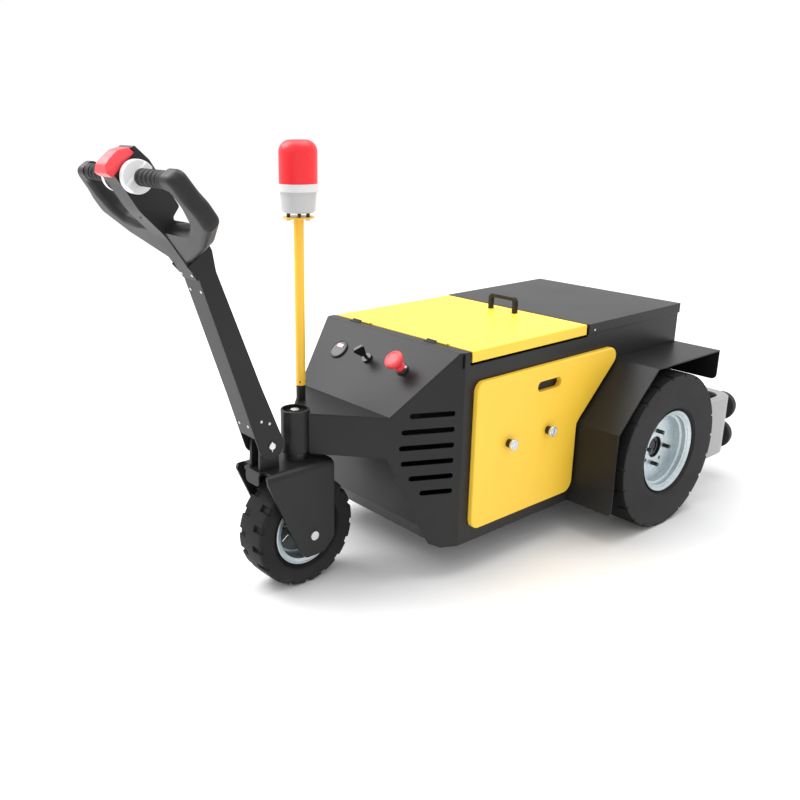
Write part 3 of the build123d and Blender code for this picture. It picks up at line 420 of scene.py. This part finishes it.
def piece(name, points, faces, finish, body, thick=0.0):
    """A mesh piece riding on a body, from arrays of points and of four-cornered faces.

    Points that meet at seams and poles are joined. A sheet with a thickness is thickened inwards, away from
    its outer side.
    """
    mesh = bpy.data.meshes.new(name)
    mesh.from_pydata(points.tolist(), [], faces.tolist())
    shell = bmesh.new()
    shell.from_mesh(mesh)
    bmesh.ops.remove_doubles(shell, verts=shell.verts, dist=1e-6)
    if thick:
        bmesh.ops.solidify(shell, geom=shell.faces[:] + shell.edges[:] + shell.verts[:], thickness=thick)
    bmesh.ops.recalc_face_normals(shell, faces=shell.faces)
    shell.to_mesh(mesh)
    shell.free()
    mesh.shade_smooth()
    mesh.set_sharp_from_angle(angle=SHARP)
    mesh.materials.append(finish)
    made = bpy.data.objects.new(name, mesh)
    bpy.context.scene.collection.objects.link(made)
    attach(made, body)
    return made


def sheet_faces(rows, columns, around_rows, around_columns, first=0):
    """Corners of the faces between the points of a grid, which may close on itself in either direction."""
    index = first + np.arange(rows * columns).reshape(rows, columns)
    if around_rows:
        index = np.vstack([index, index[:1]])
    if around_columns:
        index = np.hstack([index, index[:, :1]])
    corners = [index[:-1, :-1], index[1:, :-1], index[1:, 1:], index[:-1, 1:]]
    return np.stack(corners, axis=-1).reshape(-1, 4)


def arcs(corners, radii, steps):
    """A line of points through corners, each rounded by an arc of its radius, closed or open at the ends.

    At a corner the arc starts and ends at radius / tan(half the corner's angle) from it, and its points are
    spread evenly by angle about the arc's centre, which lies on the line that halves the corner.
    """
    corners = np.array(corners, float)
    line = []
    for i, radius in enumerate(radii):
        here = corners[i]
        if radius == 0:
            line.append(here[None])
            continue
        back = corners[i - 1] - here
        ahead = corners[(i + 1) % len(corners)] - here
        back = back / np.linalg.norm(back)
        ahead = ahead / np.linalg.norm(ahead)
        half = math.acos(np.clip(back @ ahead, -1, 1)) / 2
        centre = here + (back + ahead) / np.linalg.norm(back + ahead) * radius / math.sin(half)
        start = here + back * radius / math.tan(half) - centre
        end = here + ahead * radius / math.tan(half) - centre
        sweep = math.pi - 2 * half
        t = np.linspace(0, 1, steps)[:, None]
        line.append(centre + (np.sin((1 - t) * sweep) * start + np.sin(t * sweep) * end) / math.sin(sweep))
    return np.concatenate(line)


def frame_about(axis):
    """Two directions square to an axis and to each other."""
    axis = np.array(axis, float)
    side = np.cross(axis, (0.0, 0.0, 1.0) if abs(axis[2]) < 0.9 else (0.0, 1.0, 0.0))
    side = side / np.linalg.norm(side)
    return side, np.cross(axis, side)


def turned(feet, axes, profile, around):
    """Turned pieces: the same profile of (height, radius) about each axis, from its foot.

    Point (i, j) is foot + height_j * axis + radius_j * (cos a_i * side + sin a_i * up), and the angle
    a_i goes round the axis.
    """
    profile = np.array(profile, float)
    angle = np.linspace(0, 2 * math.pi, around, endpoint=False)[:, None, None]
    points = []
    faces = []
    for foot, axis in zip(feet, axes):
        side, up = frame_about(axis)
        ring = np.cos(angle) * side + np.sin(angle) * up
        grid = np.array(foot) + profile[:, :1] * np.array(axis, float) + profile[:, 1:] * ring
        faces.append(sheet_faces(around, len(profile), True, False, first=sum(len(p) for p in points)))
        points.append(grid.reshape(-1, 3))
    return np.concatenate(points), np.concatenate(faces)


def turned_piece(name, feet, axes, corners, rounds, steps, around, finish, body, slot):
    """A piece turned from corners of (height, radius) in millimetres, each rounded by its own radius."""
    profile = arcs(corners, rounds or (0,) * len(corners), steps) * MM
    points, faces = turned(feet, axes, profile, around)
    return piece(name, points, faces, finish, body)


# Tyres. Each groove crosses a shoulder, and the two shoulders' grooves are staggered by half a pitch.
CROWN_FROM = 0.45              # the tread falls away to its shoulder from this share of half its width
CROWN_ROUND = 0.3              # share of half the width over which that bend is rounded, each way
WALL_FROM = 0.92               # the sidewall counts from this share of half the width
WALL_FOOT = 11 * MM            # height above the rim at which the sidewall turns in to the bead
WALL_FOOT_ROUND = 6 * MM
BEAD_TOP = 3 * MM              # height of the bead above the rim, and the radius of its corner
GROOVE_SLOPE = 1.5 * MM        # width of the slopes at a groove's sides and inner end
GROOVE_FADE = 3 * MM           # height over which a groove runs out on the sidewall


def tread(axle, half, radius, rim, shape, grooves):
    """A tyre as a grid of points (turn, place along the section).

    Half a section runs from the middle of the tread over the shoulder and down the sidewall to the bead,
    and is mirrored. Round the turn its radius is cut down to the grooves' floor, and its sidewall drawn
    in, by the product of three gates: near a groove's middle in turn, past its inner end along X, and
    above its foot in radius.
    """
    rim_radius, bore, bead = rim
    shoulder, crown = shape
    count, wide, inner, depth, reach, wall_depth = grooves
    bend = math.atan2(crown, (1 - CROWN_FROM) * half)
    line = arcs([
        (0.0, radius),
        (CROWN_FROM * half, radius),
        (half, radius - crown),
        (half, rim_radius + WALL_FOOT),
        (bead, rim_radius + BEAD_TOP),
        (bead, bore),
    ], (0, CROWN_ROUND * half / math.tan(bend / 2), shoulder, WALL_FOOT_ROUND, BEAD_TOP, 0), steps=9)
    run = np.concatenate([[0.0], np.cumsum(np.linalg.norm(np.diff(line, axis=0), axis=1))])
    wall = int(np.argmax(line[:, 0])) + 1
    ends = np.interp([inner, inner + GROOVE_SLOPE], line[:wall, 0], run[:wall])
    feet = np.interp([reach - radius, reach + GROOVE_FADE - radius], -line[:, 1], run)
    run_all = np.unique(np.concatenate([run, ends, feet]))
    x_half = np.interp(run_all, run, line[:, 0])
    r_half = np.interp(run_all, run, line[:, 1])
    x_line = np.concatenate([-x_half[::-1], x_half[1:]])
    r_line = np.concatenate([r_half[::-1], r_half[1:]])

    # Turns are counted in pitches, with a groove at 0 on the right shoulder and at 0.5 on the left
    pitch = 2 * math.pi / count
    share = wide / (radius * pitch) / 2
    edge = GROOVE_SLOPE / (radius * pitch)
    marks = np.array([-share - edge, -share, 0.0, share, share + edge])
    plain = np.linspace(share + edge, 0.5 - share - edge, 4)[1:-1]
    phases = np.unique(np.round(np.concatenate([marks, marks + 0.5, plain, -plain]) % 1.0, 6))
    phase = (np.arange(count)[:, None] + phases).ravel()[:, None]

    away = np.abs((phase + np.where(x_line > 0, 0.5, 0.0) + 0.5) % 1.0 - 0.5)
    in_turn = np.clip((share + edge - away) / edge, 0, 1)
    along = np.clip((np.abs(x_line) - inner) / GROOVE_SLOPE, 0, 1)
    above = np.clip((r_line - (radius - reach - GROOVE_FADE)) / GROOVE_FADE, 0, 1)
    gate = in_turn * along * above
    r = np.minimum(r_line, radius - depth * gate)
    x = x_line - np.sign(x_line) * wall_depth * gate * (np.abs(x_line) > half * WALL_FROM)
    points = axle + np.stack([x, r * np.sin(phase * pitch), r * np.cos(phase * pitch)], axis=-1)
    return points.reshape(-1, 3), sheet_faces(len(phase), len(x_line), True, True)


# Rim's radius, tyre's bore and half the width of its bead, then shoulder radius and crown
REAR_TYRE = ((106 * MM, 97.3 * MM, 39.5 * MM), (4 * MM, 0.8 * MM))
FRONT_TYRE = ((80 * MM, 71.3 * MM, 29.5 * MM), (6 * MM, 1.2 * MM))
# Grooves on each shoulder: count, width, inner end, depth, reach down the sidewall and depth into it
REAR_GROOVES = (22, 6 * MM, 25 * MM, 5 * MM, 7 * MM, 2.5 * MM)
FRONT_GROOVES = (17, 13 * MM, 13 * MM, 6.5 * MM, 9 * MM, 3 * MM)
TYRES = (
    ("rear_tyre_left", "wheel_rear_left", REAR_RUBBER, REAR_TYRE, REAR_GROOVES),
    ("rear_tyre_right", "wheel_rear_right", REAR_RUBBER, REAR_TYRE, REAR_GROOVES),
    ("front_tyre", "wheel_front", FRONT_RUBBER, FRONT_TYRE, FRONT_GROOVES),
)
for node, body, finish, (rim, shape), grooves in TYRES:
    low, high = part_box(node)
    half = (high[0] - low[0]) / 2
    radius = (high[1] - low[1]) / 2
    points, faces = tread(middle(node), half, radius, rim, shape, grooves)
    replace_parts(piece(node + "_tread", points, faces, finish, body), node)

# Rear rims. The barrel's corners are (out along X from the wheel's middle, radius) in millimetres: the outer
# flange, the tyre's side of the shelves and the well, the inner flange, and back on the axle's side.
RIM_LINE = [
    (46, 106), (42.4, 106), (39.9, 97.2),
    (27, 97), (24, 91), (-24, 91), (-27, 97),
    (-39.9, 97.2), (-42.4, 106), (-46, 106),
    (-45, 105), (-37.5, 93.4), (-27, 93), (-24.5, 87.5),
    (24.5, 87.5), (27, 93), (37.5, 93.4), (45, 105), (46, 106),
]
HUB_LINE = [(-50, 0), (-50, 28), (0, 28), (2, 26), (2, 16.5), (-3, 16.5), (-3, 0)]
HUB_ROUNDS = (0, 0, 1, 1, 1, 0, 0)
BOLT_LINE = [(0, 0), (0, 8.5), (7, 8.5), (7, 5.2), (25, 5.2), (25, 0)]
BOLT_ROUNDS = (0, 0, 1.5, 0.5, 1, 0)
BOLT_CIRCLE = 43 * MM
DISC_FACE = 1 * MM             # outer face of the rim's disc, from the wheel's middle
DISC_THICK = 6 * MM
DISC_FROM = 27 * MM            # the disc reaches from inside the hub to inside the barrel's wall
DISC_TO = 88 * MM
VENT_CIRCLE = 46 * MM
VENT_RADIUS = 5 * MM
VENTS = 4
VENT_TURN = math.radians(-52.0)
LINES_BETWEEN = 12             # lines across the disc between one vent and the next
RINGS = np.unique(np.concatenate([
    np.linspace(DISC_FROM, DISC_TO, 13),
    VENT_CIRCLE + VENT_RADIUS * np.cos(np.linspace(0, math.pi, 13)),
]))


def vented_disc(middle_x, side):
    """A disc with round vents, as a sheet on rings and on lines across them.

    Between each two vents the lines keep their angle. A vent lies between two lines that bow apart by
    asin(h / r), where h = sqrt(vent radius^2 - (r - vent circle)^2) is its half width at a ring's radius r.
    """
    h = np.sqrt(np.clip(VENT_RADIUS ** 2 - (RINGS - VENT_CIRCLE) ** 2, 0, None))
    bow = np.arcsin(h / RINGS)
    pitch = 2 * math.pi / VENTS
    shares = np.concatenate([[0.0, 0.0], np.linspace(0, 1, LINES_BETWEEN + 2)[1:-1]])
    signs = np.array([-1.0, 1.0] + [0.0] * LINES_BETWEEN)
    angle = (np.arange(VENTS)[:, None] + shares).ravel() * pitch + VENT_TURN
    sign = np.tile(signs, VENTS)
    turn = angle[:, None] + sign[:, None] * bow
    wide = np.full(turn.shape, middle_x + side * DISC_FACE)
    y = REAR_AXLE[1] + RINGS * np.cos(turn)
    z = REAR_AXLE[2] + RINGS * np.sin(turn)
    points = np.stack([wide, y, z], axis=-1)
    faces = sheet_faces(len(turn), len(RINGS), True, False).reshape(len(turn), -1, 4)
    open_ring = (h[:-1] > 0) | (h[1:] > 0)
    vent = (sign < 0)[:, None] & open_ring[None]
    return points.reshape(-1, 3), faces[~vent]


for side, name in zip(SIDES, ("left", "right")):
    centre = np.array([side * REAR_AXLE[0], REAR_AXLE[1], REAR_AXLE[2]])
    outward = [(side, 0, 0)]
    body = "wheel_rear_" + name
    rim_piece = turned_piece(
        "rear_rim_barrel_" + name, [centre], outward, RIM_LINE, None, 1, 96,
        REAR_ZINC, body, "galvanised",
    )
    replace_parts(rim_piece, "rear_rim_" + name)
    points, faces = vented_disc(centre[0], side)
    piece("rear_rim_disc_" + name, points, faces, REAR_ZINC, body, thick=DISC_THICK)
    turned_piece(
        "rear_hub_" + name, [centre], outward, HUB_LINE, HUB_ROUNDS, 4, 48,
        GLOSS_BLACK, body, "black_plastic",
    )
    turns = VENT_TURN + math.pi / VENTS + np.arange(VENTS) * 2 * math.pi / VENTS
    feet = [centre + BOLT_CIRCLE * np.array([0.0, math.cos(a), math.sin(a)]) for a in turns]
    turned_piece(
        "wheel_bolts_" + name, feet, outward * VENTS, BOLT_LINE, BOLT_ROUNDS, 4, 20,
        GLOSS_BLACK, body, "black_plastic",
    )

# Grips with moulded ribs. The radius dips by a raised cosine once in each rib's pitch.
GRIP_MIDDLE = middle("grips")
GRIP_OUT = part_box("grips")[1][0]
GRIP_IN = 53 * MM
GRIP_RADIUS = 15.5 * MM
RIB_COUNT = 5
RIB_PITCH = 16 * MM
RIB_DEPTH = 2.4 * MM
DIP_POWER = 2.5                # a higher power makes the dips narrower
along_grip = np.linspace(0, 1, 161) * (GRIP_OUT - GRIP_IN)
wave = 0.5 + 0.5 * np.cos(2 * math.pi * along_grip / RIB_PITCH)
dip = np.where(along_grip < RIB_COUNT * RIB_PITCH, wave ** DIP_POWER, 0.0)
grip_profile = np.column_stack([along_grip, GRIP_RADIUS - RIB_DEPTH * dip])
grip_profile = np.vstack([(0.0, 0.0), grip_profile, (along_grip[-1], 0.0)])
grip_feet = [(side * GRIP_IN, GRIP_MIDDLE[1], GRIP_MIDDLE[2]) for side in SIDES]
points, faces = turned(grip_feet, OUTWARD, grip_profile, 36)
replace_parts(piece("ribbed_grips", points, faces, GRIP, "tiller"), "grips")

# Thumb discs. On the outer face a bar stands across the disc, between two raised edges.
DISC_RADIUS = 30 * MM
DISC_OUT = 51 * MM             # the bar's top, from the tiller's middle plane
BAR_HEIGHT = 6 * MM
BAR_ACROSS = (-0.71, 0.70)     # direction across the bar, in the disc's face
BAR_HALF = 0.34                # half the bar's foot, the width of its slope and that at its ends, by radius
BAR_SLOPE = 0.12
BAR_END = 0.05
STUB_IN = 27 * MM
STUB_LENGTH = 26 * MM
STUB_RADIUS = 11.5 * MM
FACE_RINGS = 38                # rings of the flat face, 40 of which would fill the radius
# Rings of the rounded edge: share of the radius, and drop below the face in millimetres
EDGE_RINGS = np.array([
    (0.955, 0.2), (0.98, 0.9), (0.995, 2.4),
    (1.0, 3.4), (1.0, 5.0), (1.0, 9.0), (1.0, 13.0),
])
disc_turn = np.linspace(0, 2 * math.pi, 120, endpoint=False)[:, None]
disc_reach = np.concatenate([np.linspace(0, 1, 41)[:FACE_RINGS], EDGE_RINGS[:, 0]])
disc_drop = np.concatenate([np.zeros(FACE_RINGS), EDGE_RINGS[:, 1]]) * MM


def disc_face(side):
    """Points of a disc's outer face and edge: out along X less the edge's drop, plus a bar's height.

    The bar's height depends on the distance s from a line through the middle: it is full where |s| is small
    and falls smoothly to nothing at its edges.
    """
    u = disc_reach * np.cos(disc_turn)
    v = disc_reach * np.sin(disc_turn)
    s = np.abs(BAR_ACROSS[1] * v + BAR_ACROSS[0] * u)
    fall = np.clip((BAR_HALF - s) / BAR_SLOPE, 0, 1)
    height = BAR_HEIGHT * fall * fall * (3 - 2 * fall)
    height = height * np.clip((1.0 - disc_reach) / BAR_END, 0, 1)
    x = side * (DISC_OUT - BAR_HEIGHT - disc_drop + height)
    y = GRIP_MIDDLE[1] + side * DISC_RADIUS * u
    z = GRIP_MIDDLE[2] + DISC_RADIUS * v
    return np.stack([np.broadcast_to(x, u.shape), y, z], axis=-1)


disc_points = []
disc_faces = []
for side in SIDES:
    first = sum(len(p) for p in disc_points)
    disc_grid = disc_face(side)
    disc_points.append(disc_grid.reshape(-1, 3))
    disc_faces.append(sheet_faces(*disc_grid.shape[:2], True, False, first=first))
stub_feet = [(side * STUB_IN, GRIP_MIDDLE[1], GRIP_MIDDLE[2]) for side in SIDES]
stub_profile = [(0, 0), (0, STUB_RADIUS), (STUB_LENGTH, STUB_RADIUS), (STUB_LENGTH, 0)]
points, faces = turned(stub_feet, OUTWARD, stub_profile, 32)
disc_faces.append(faces + sum(len(p) for p in disc_points))
disc_points.append(points)
discs = piece(
    "rocker_discs", np.concatenate(disc_points), np.concatenate(disc_faces),
    DISC_WHITE, "tiller",
)
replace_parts(discs, "thumb_discs")

# Controls on the sloped panel, in a row across it
STRIP = 30 * MM                # flat strip between the lid's hinge and the panel's top edge
BODY_TOP_Z = 537 * MM
CONTROL_DOWN = 76 * MM         # from the panel's top edge down its slope to the row
STOP_X = 108 * MM
GAUGE_X = -115 * MM
MARK_PLACE = (11 * MM, 5 * MM)     # white mark on the stop button's base: across, and up the slope
slope = math.atan2(PANEL_RISE, PANEL_RUN)
PANEL_NORMAL = np.array([0.0, -math.sin(slope), math.cos(slope)])
PANEL_UP = np.array([0.0, math.cos(slope), math.sin(slope)])
PANEL_EDGE = np.array([0.0, JOINTS["lid_hinge"]["pos_m"][1] - STRIP, BODY_TOP_Z])
CONTROL_ROW = PANEL_EDGE - PANEL_UP * CONTROL_DOWN


def on_panel(x, up=0.0, out=0.0):
    """A point of the control panel: across, up its slope from the controls' row, and out of its face."""
    return CONTROL_ROW + np.array([x, 0.0, 0.0]) + PANEL_UP * up + PANEL_NORMAL * out


# Corners of (height out of the panel, radius) in millimetres, the radii that round them, points on each arc
# and points round the piece
CAP_LINE = [(28, 0), (28, 11.5), (33, 22), (42, 22), (45.6, 17.5), (43.6, 15), (43.2, 0)]
CAP_SHAPE = (CAP_LINE, (0, 3, 3, 3.5, 1.6, 3, 0), 7, 56)
NECK_LINE = [(6, 0), (6, 11.5), (12, 11.5), (14, 9.5), (31, 10.5), (31, 0)]
NECK_SHAPE = (NECK_LINE, (0, 1, 1.5, 2, 0, 0), 5, 40)
BASE_LINE = [(-12, 0), (-12, 10.5), (0, 10.5), (0, 15), (3.4, 15), (4.6, 12.6), (7, 12.6), (7, 0)]
BASE_SHAPE = (BASE_LINE, (0, 0, 0, 0.8, 1.2, 0.8, 0.8, 0), 4, 40)
MARK_SHAPE = ([(6.2, 0), (6.2, 3.2), (8.8, 3.2), (8.8, 0)], (0, 0.3, 0.8, 0), 4, 20)
BEZEL_LINE = [(0.2, 24.5), (3.5, 24.5), (5.2, 22.6), (3.8, 20.2), (3.4, 20.2)]
BEZEL_SHAPE = (BEZEL_LINE, (0, 1.2, 1.4, 0.6, 0), 5, 64)

stop_foot = [on_panel(STOP_X)]
mark_foot = [on_panel(STOP_X + MARK_PLACE[0], MARK_PLACE[1])]
gauge_foot = [on_panel(GAUGE_X)]
stop_cap = turned_piece("stop_cap", stop_foot, [PANEL_NORMAL], *CAP_SHAPE, RED, "chassis", "red_plastic")
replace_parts(stop_cap, "stop_button")
turned_piece("stop_neck", stop_foot, [PANEL_NORMAL], *NECK_SHAPE, RED, "chassis", "red_plastic")
turned_piece("stop_base", stop_foot, [PANEL_NORMAL], *BASE_SHAPE, GLOSS_BLACK, "chassis", "black_plastic")
turned_piece("stop_mark", mark_foot, [PANEL_NORMAL], *MARK_SHAPE, DISC_WHITE, "chassis", "white_plastic")
turned_piece("gauge_bezel", gauge_foot, [PANEL_NORMAL], *BEZEL_SHAPE, GLOSS_BLACK, "chassis", "black_plastic")


def lit_display(place):
    """Charge display: pale rose glass with a row of darker bars."""
    x, _, _ = xyz(place)
    bar = x.add("ShaderNodeMath", {"operation": "PINGPONG"}, {0: x, 1: 1.1 * MM})
    gaps = step(bar, 0.35 * MM, 0.55 * MM)
    lit = mix(colour(0.42, 0.10, 0.14), colour(0.80, 0.45, 0.52), gaps)
    return {"Base Color": lit, "Roughness": 0.12 + 0.06 * noise(place, 300.0), "Emission Color": lit}


DISPLAY = material("charge display", lit_display, Emission_Strength=0.1)


def rounded_plate(name, centre, across_axis, up_axis, size, finish, body):
    """A plate with rounded corners, whose size is its width, height, thickness and corner radius.

    Its outline is repeated at the foot, at the edge and a little further in on top, and meets in the middle.
    """
    width, height, thick, corner = size
    w, h = width / 2, height / 2
    outline = arcs([(-w, -h), (w, -h), (w, h), (-w, h)], (corner,) * 4, steps=7)
    out_axis = np.cross(across_axis, up_axis)
    rings = ((1.0, 0.0), (1.0, thick * 0.7), (1.0 - 0.3 * thick / w, thick), (0.0, thick))
    points = [
        centre + share * (outline[:, :1] * across_axis + outline[:, 1:] * up_axis) + out_axis * lift
        for share, lift in rings
    ]
    grid = np.stack(points, axis=1)
    return piece(name, grid.reshape(-1, 3), sheet_faces(*grid.shape[:2], True, False), finish, body)


DISPLAY_PLACE = (9.2 * MM, 4 * MM)     # up the slope from the gauge's middle, and out of the panel
DISPLAY_SIZE = (21 * MM, 10 * MM, 0.8 * MM, 2 * MM)
rounded_plate(
    "gauge_display", on_panel(GAUGE_X, *DISPLAY_PLACE), np.array([1.0, 0.0, 0.0]), PANEL_UP, DISPLAY_SIZE,
    DISPLAY, "chassis",
)

# Slits in the body's sides at the lid's front corners, drawn as thin near-black plates: painted shade where the
# cuts open into the body
SLIT_PLACE = (235 * MM, -211 * MM, 518 * MM)
SLIT_SIZE = (4.5 * MM, 31 * MM, 0.25 * MM, 1.5 * MM)
for side, name in zip(SIDES, ("slit_shade_left", "slit_shade_right")):
    rounded_plate(
        name, np.array([side * SLIT_PLACE[0], SLIT_PLACE[1], SLIT_PLACE[2]]),
        np.array([0.0, side, 0.0]), np.array([0.0, 0.0, 1.0]), SLIT_SIZE, SLIT_SHADE, "chassis",
    )

# Side panels' knobs: a near-black neck, painted shade for the stem's shadowed foot, and a bright head with a ring
# and a domed middle
KNOB_HEAD_RADIUS = 13.5 * MM
KNOB_NECK_SHAPE = ([(0, 0), (0, 10.1), (15, 10.1), (15, 0)], None, 1, 32)
KNOB_HEAD_LINE = [(13, 0), (13, 13.5), (19, 13.5), (19, 9.6), (17.4, 8.6), (17.4, 6.4), (19, 5.4), (18.6, 0)]
KNOB_HEAD_SHAPE = (KNOB_HEAD_LINE, (0, 0.8, 2, 0.8, 0.5, 0.5, 1.5, 0), 4, 40)
knob_low, knob_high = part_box("panel_knobs")
panel_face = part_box("side_panel_left")[1][0]
knob_z = (knob_low[2] + knob_high[2]) / 2
knob_ys = (knob_low[1] + KNOB_HEAD_RADIUS, knob_high[1] - KNOB_HEAD_RADIUS)
knob_feet = [(side * panel_face, y, knob_z) for side in SIDES for y in knob_ys]
knob_axes = [(side, 0, 0) for side in SIDES for _ in knob_ys]
# the neck's near-black is painted shade of the stem under the head
turned_piece("knob_neck_shade", knob_feet, knob_axes, *KNOB_NECK_SHAPE, GLOSS_BLACK, "chassis", "black_plastic")
knob_heads = turned_piece(
    "knob_heads", knob_feet, knob_axes, *KNOB_HEAD_SHAPE, KNOB_STEEL, "chassis", "bright_steel",
)
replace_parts(knob_heads, "panel_knobs")

# Screws: low domed heads with the rim of a socket. Corners of (height, radius), the height as a share of
# SCREW_LIFT times the head's radius, and the radius as a share of the head's.
SCREW_LIFT = 0.6
SCREW_LINE = np.array([
    (-1.0, 0.0), (-1.0, 1.0), (0.25, 1.0), (0.55, 0.86),
    (0.72, 0.6), (0.76, 0.42), (0.45, 0.36), (0.45, 0.0),
])


def screws(name, feet, axes, radius, finish, body):
    """Screw heads with their feet on a surface, each along the surface's outward direction."""
    points, faces = turned(feet, axes, SCREW_LINE * (radius * SCREW_LIFT, radius), 18)
    return piece(name, points, faces, finish, body)


def on_arm(x, forward, up):
    """A point of the tiller's arm: across, forward of the line from its pivot, and up along it."""
    lean_forward = np.array([0.0, -math.cos(ARM_LEAN), -math.sin(ARM_LEAN)])
    lean_up = np.array([0.0, -math.sin(ARM_LEAN), math.cos(ARM_LEAN)])
    return TILLER_PIVOT + np.array([x, 0.0, 0.0]) + lean_forward * forward + lean_up * up


def both(place):
    """A place on the left and its mirror image on the right."""
    return [(side * place[0], place[1], place[2]) for side in SIDES]


# Places of the screws, the left one of each pair, and the directions that their surfaces face
ARM_SIDE_X = 30 * MM
ARM_SCREWS = ((2 * MM, 64 * MM), (-14 * MM, 49 * MM))      # forward and up, as on_arm() takes them
COVER_LOW, COVER_LOW_OUT = (16.6 * MM, -0.62168, 0.40257), (0.0, -0.9528, -0.3035)
COVER_TOP, COVER_TOP_OUT = (20 * MM, -0.71998, 0.69907), (0.0, -0.9481, -0.3180)
HEAD_FOOT, HEAD_FOOT_OUT = (19.8 * MM, -0.7377, 0.73243), (0.0, -0.8211, -0.5707)
SPINE, SPINE_OUT = (0.0, -0.82574, 0.84464), (0.0, -0.711, -0.7032)
REAR_COVER = (238 * MM, 0.2468, 0.5203)
POLE_MIDDLE = np.array([-58.0, -430.0, 449.0]) * MM
POLE_RADIUS = 11 * MM
POLE_TURNS = [math.radians(45 + 90 * i) for i in range(4)]

screws(
    "arm_screws",
    [on_arm(side * ARM_SIDE_X, forward, up) for side in SIDES for forward, up in ARM_SCREWS],
    [(side, 0, 0) for side in SIDES for _ in ARM_SCREWS],
    3.2 * MM, STEEL, "tiller",
)
screws(
    "cover_screws", both(COVER_LOW) + both(COVER_TOP), [COVER_LOW_OUT] * 2 + [COVER_TOP_OUT] * 2,
    3.2 * MM, STEEL, "tiller",
)
screws("head_foot_screws", both(HEAD_FOOT), [HEAD_FOOT_OUT] * 2, 3 * MM, STEEL, "tiller")
screws("spine_screw", [SPINE], [SPINE_OUT], 2.6 * MM, GLOSS_BLACK, "tiller")
pole_ways = [np.array([math.cos(a), math.sin(a), 0.0]) for a in POLE_TURNS]
screws(
    "pole_screws", [POLE_MIDDLE + way * POLE_RADIUS for way in pole_ways], pole_ways,
    1.8 * MM, GLOSS_BLACK, "chassis",
)
screws("rear_cover_screws", both(REAR_COVER), OUTWARD, 3 * MM, STEEL, "chassis")


def floor_finish(place):
    """Pale even floor with the faintest of clouds, paler still far out, where it meets the studio's wall."""
    clouds = noise(place, 0.8, 2.0)
    x, y, _ = xyz(place)
    far = step((x * x + y * y) ** 0.5, 1.5, 4.0)
    near_tone = mix(colour(0.84, 0.84, 0.84), colour(0.88, 0.88, 0.88), clouds)
    return {
        "Base Color": mix(near_tone, colour(1.0, 1.0, 1.0), far),
        "Roughness": 0.85 + clouds * 0.1,
    }


FLOOR_HALF = 60.0
floor_corners = [(x * FLOOR_HALF, y * FLOOR_HALF, 0) for x, y in ((-1, -1), (1, -1), (1, 1), (-1, 1))]
floor_mesh = bpy.data.meshes.new("floor")
floor_mesh.from_pydata(floor_corners, [], [(0, 1, 2, 3)])
floor_mesh.materials.append(material("pale floor", floor_finish, Specular_IOR_Level=0.2))
floor = bpy.data.objects.new("floor", floor_mesh)
bpy.context.scene.collection.objects.link(floor)

# Camera, where the photographer stood. Its shift puts the machine where the photograph has it.
AZIMUTH = math.radians(51.3994)
ELEVATION = math.radians(17.6487)
CAMERA_PLACE = (1.4565, -1.5402, 1.0202)
SENSOR_WIDTH = 36.0            # millimetres, as the lens is
LENS_LENGTH = 39.027
SHIFT_X = 0.0814
SHIFT_Y = -0.0107
camera_data = bpy.data.cameras.new("camera")
camera = bpy.data.objects.new("camera", camera_data)
bpy.context.scene.collection.objects.link(camera)
back = Vector((
    math.sin(AZIMUTH) * math.cos(ELEVATION),
    -math.cos(AZIMUTH) * math.cos(ELEVATION),
    math.sin(ELEVATION),
))
camera.location = CAMERA_PLACE
camera.rotation_mode = "QUATERNION"
camera.rotation_quaternion = (-back).to_track_quat("-Z", "Y")
camera_data.sensor_width = SENSOR_WIDTH
camera_data.lens = LENS_LENGTH
camera_data.shift_x = SHIFT_X
camera_data.shift_y = SHIFT_Y
camera_data.clip_start = 0.05
camera_data.clip_end = 200.0
bpy.context.scene.camera = camera
bpy.context.scene.view_settings.view_transform = "Standard"


def area_light(name, place, aim, size, watts):
    """A square soft box at a place, turned to the point it lights."""
    data = bpy.data.lights.new(name, "AREA")
    data.size = size
    data.energy = watts
    lamp = bpy.data.objects.new(name, data)
    bpy.context.scene.collection.objects.link(lamp)
    lamp.location = place
    lamp.rotation_mode = "QUATERNION"
    lamp.rotation_quaternion = (Vector(aim) - Vector(place)).to_track_quat("-Z", "Y")


area_light("key", (-2.2, -1.6, 3.4), (0.0, 0.0, 0.3), 2.6, 125.0)
area_light("top", (0.0, 0.6, 4.0), (0.0, 0.1, 0.3), 3.0, 85.0)

WORLD_STRENGTH = 1.02          # just over white, so that the background has the photograph's pure white
world = bpy.data.worlds.new("studio")
bpy.context.scene.world = world
world.use_nodes = True
background = world.node_tree.nodes["Background"]
background.inputs["Color"].default_value = colour(1.0, 1.0, 1.0)
background.inputs["Strength"].default_value = WORLD_STRENGTH
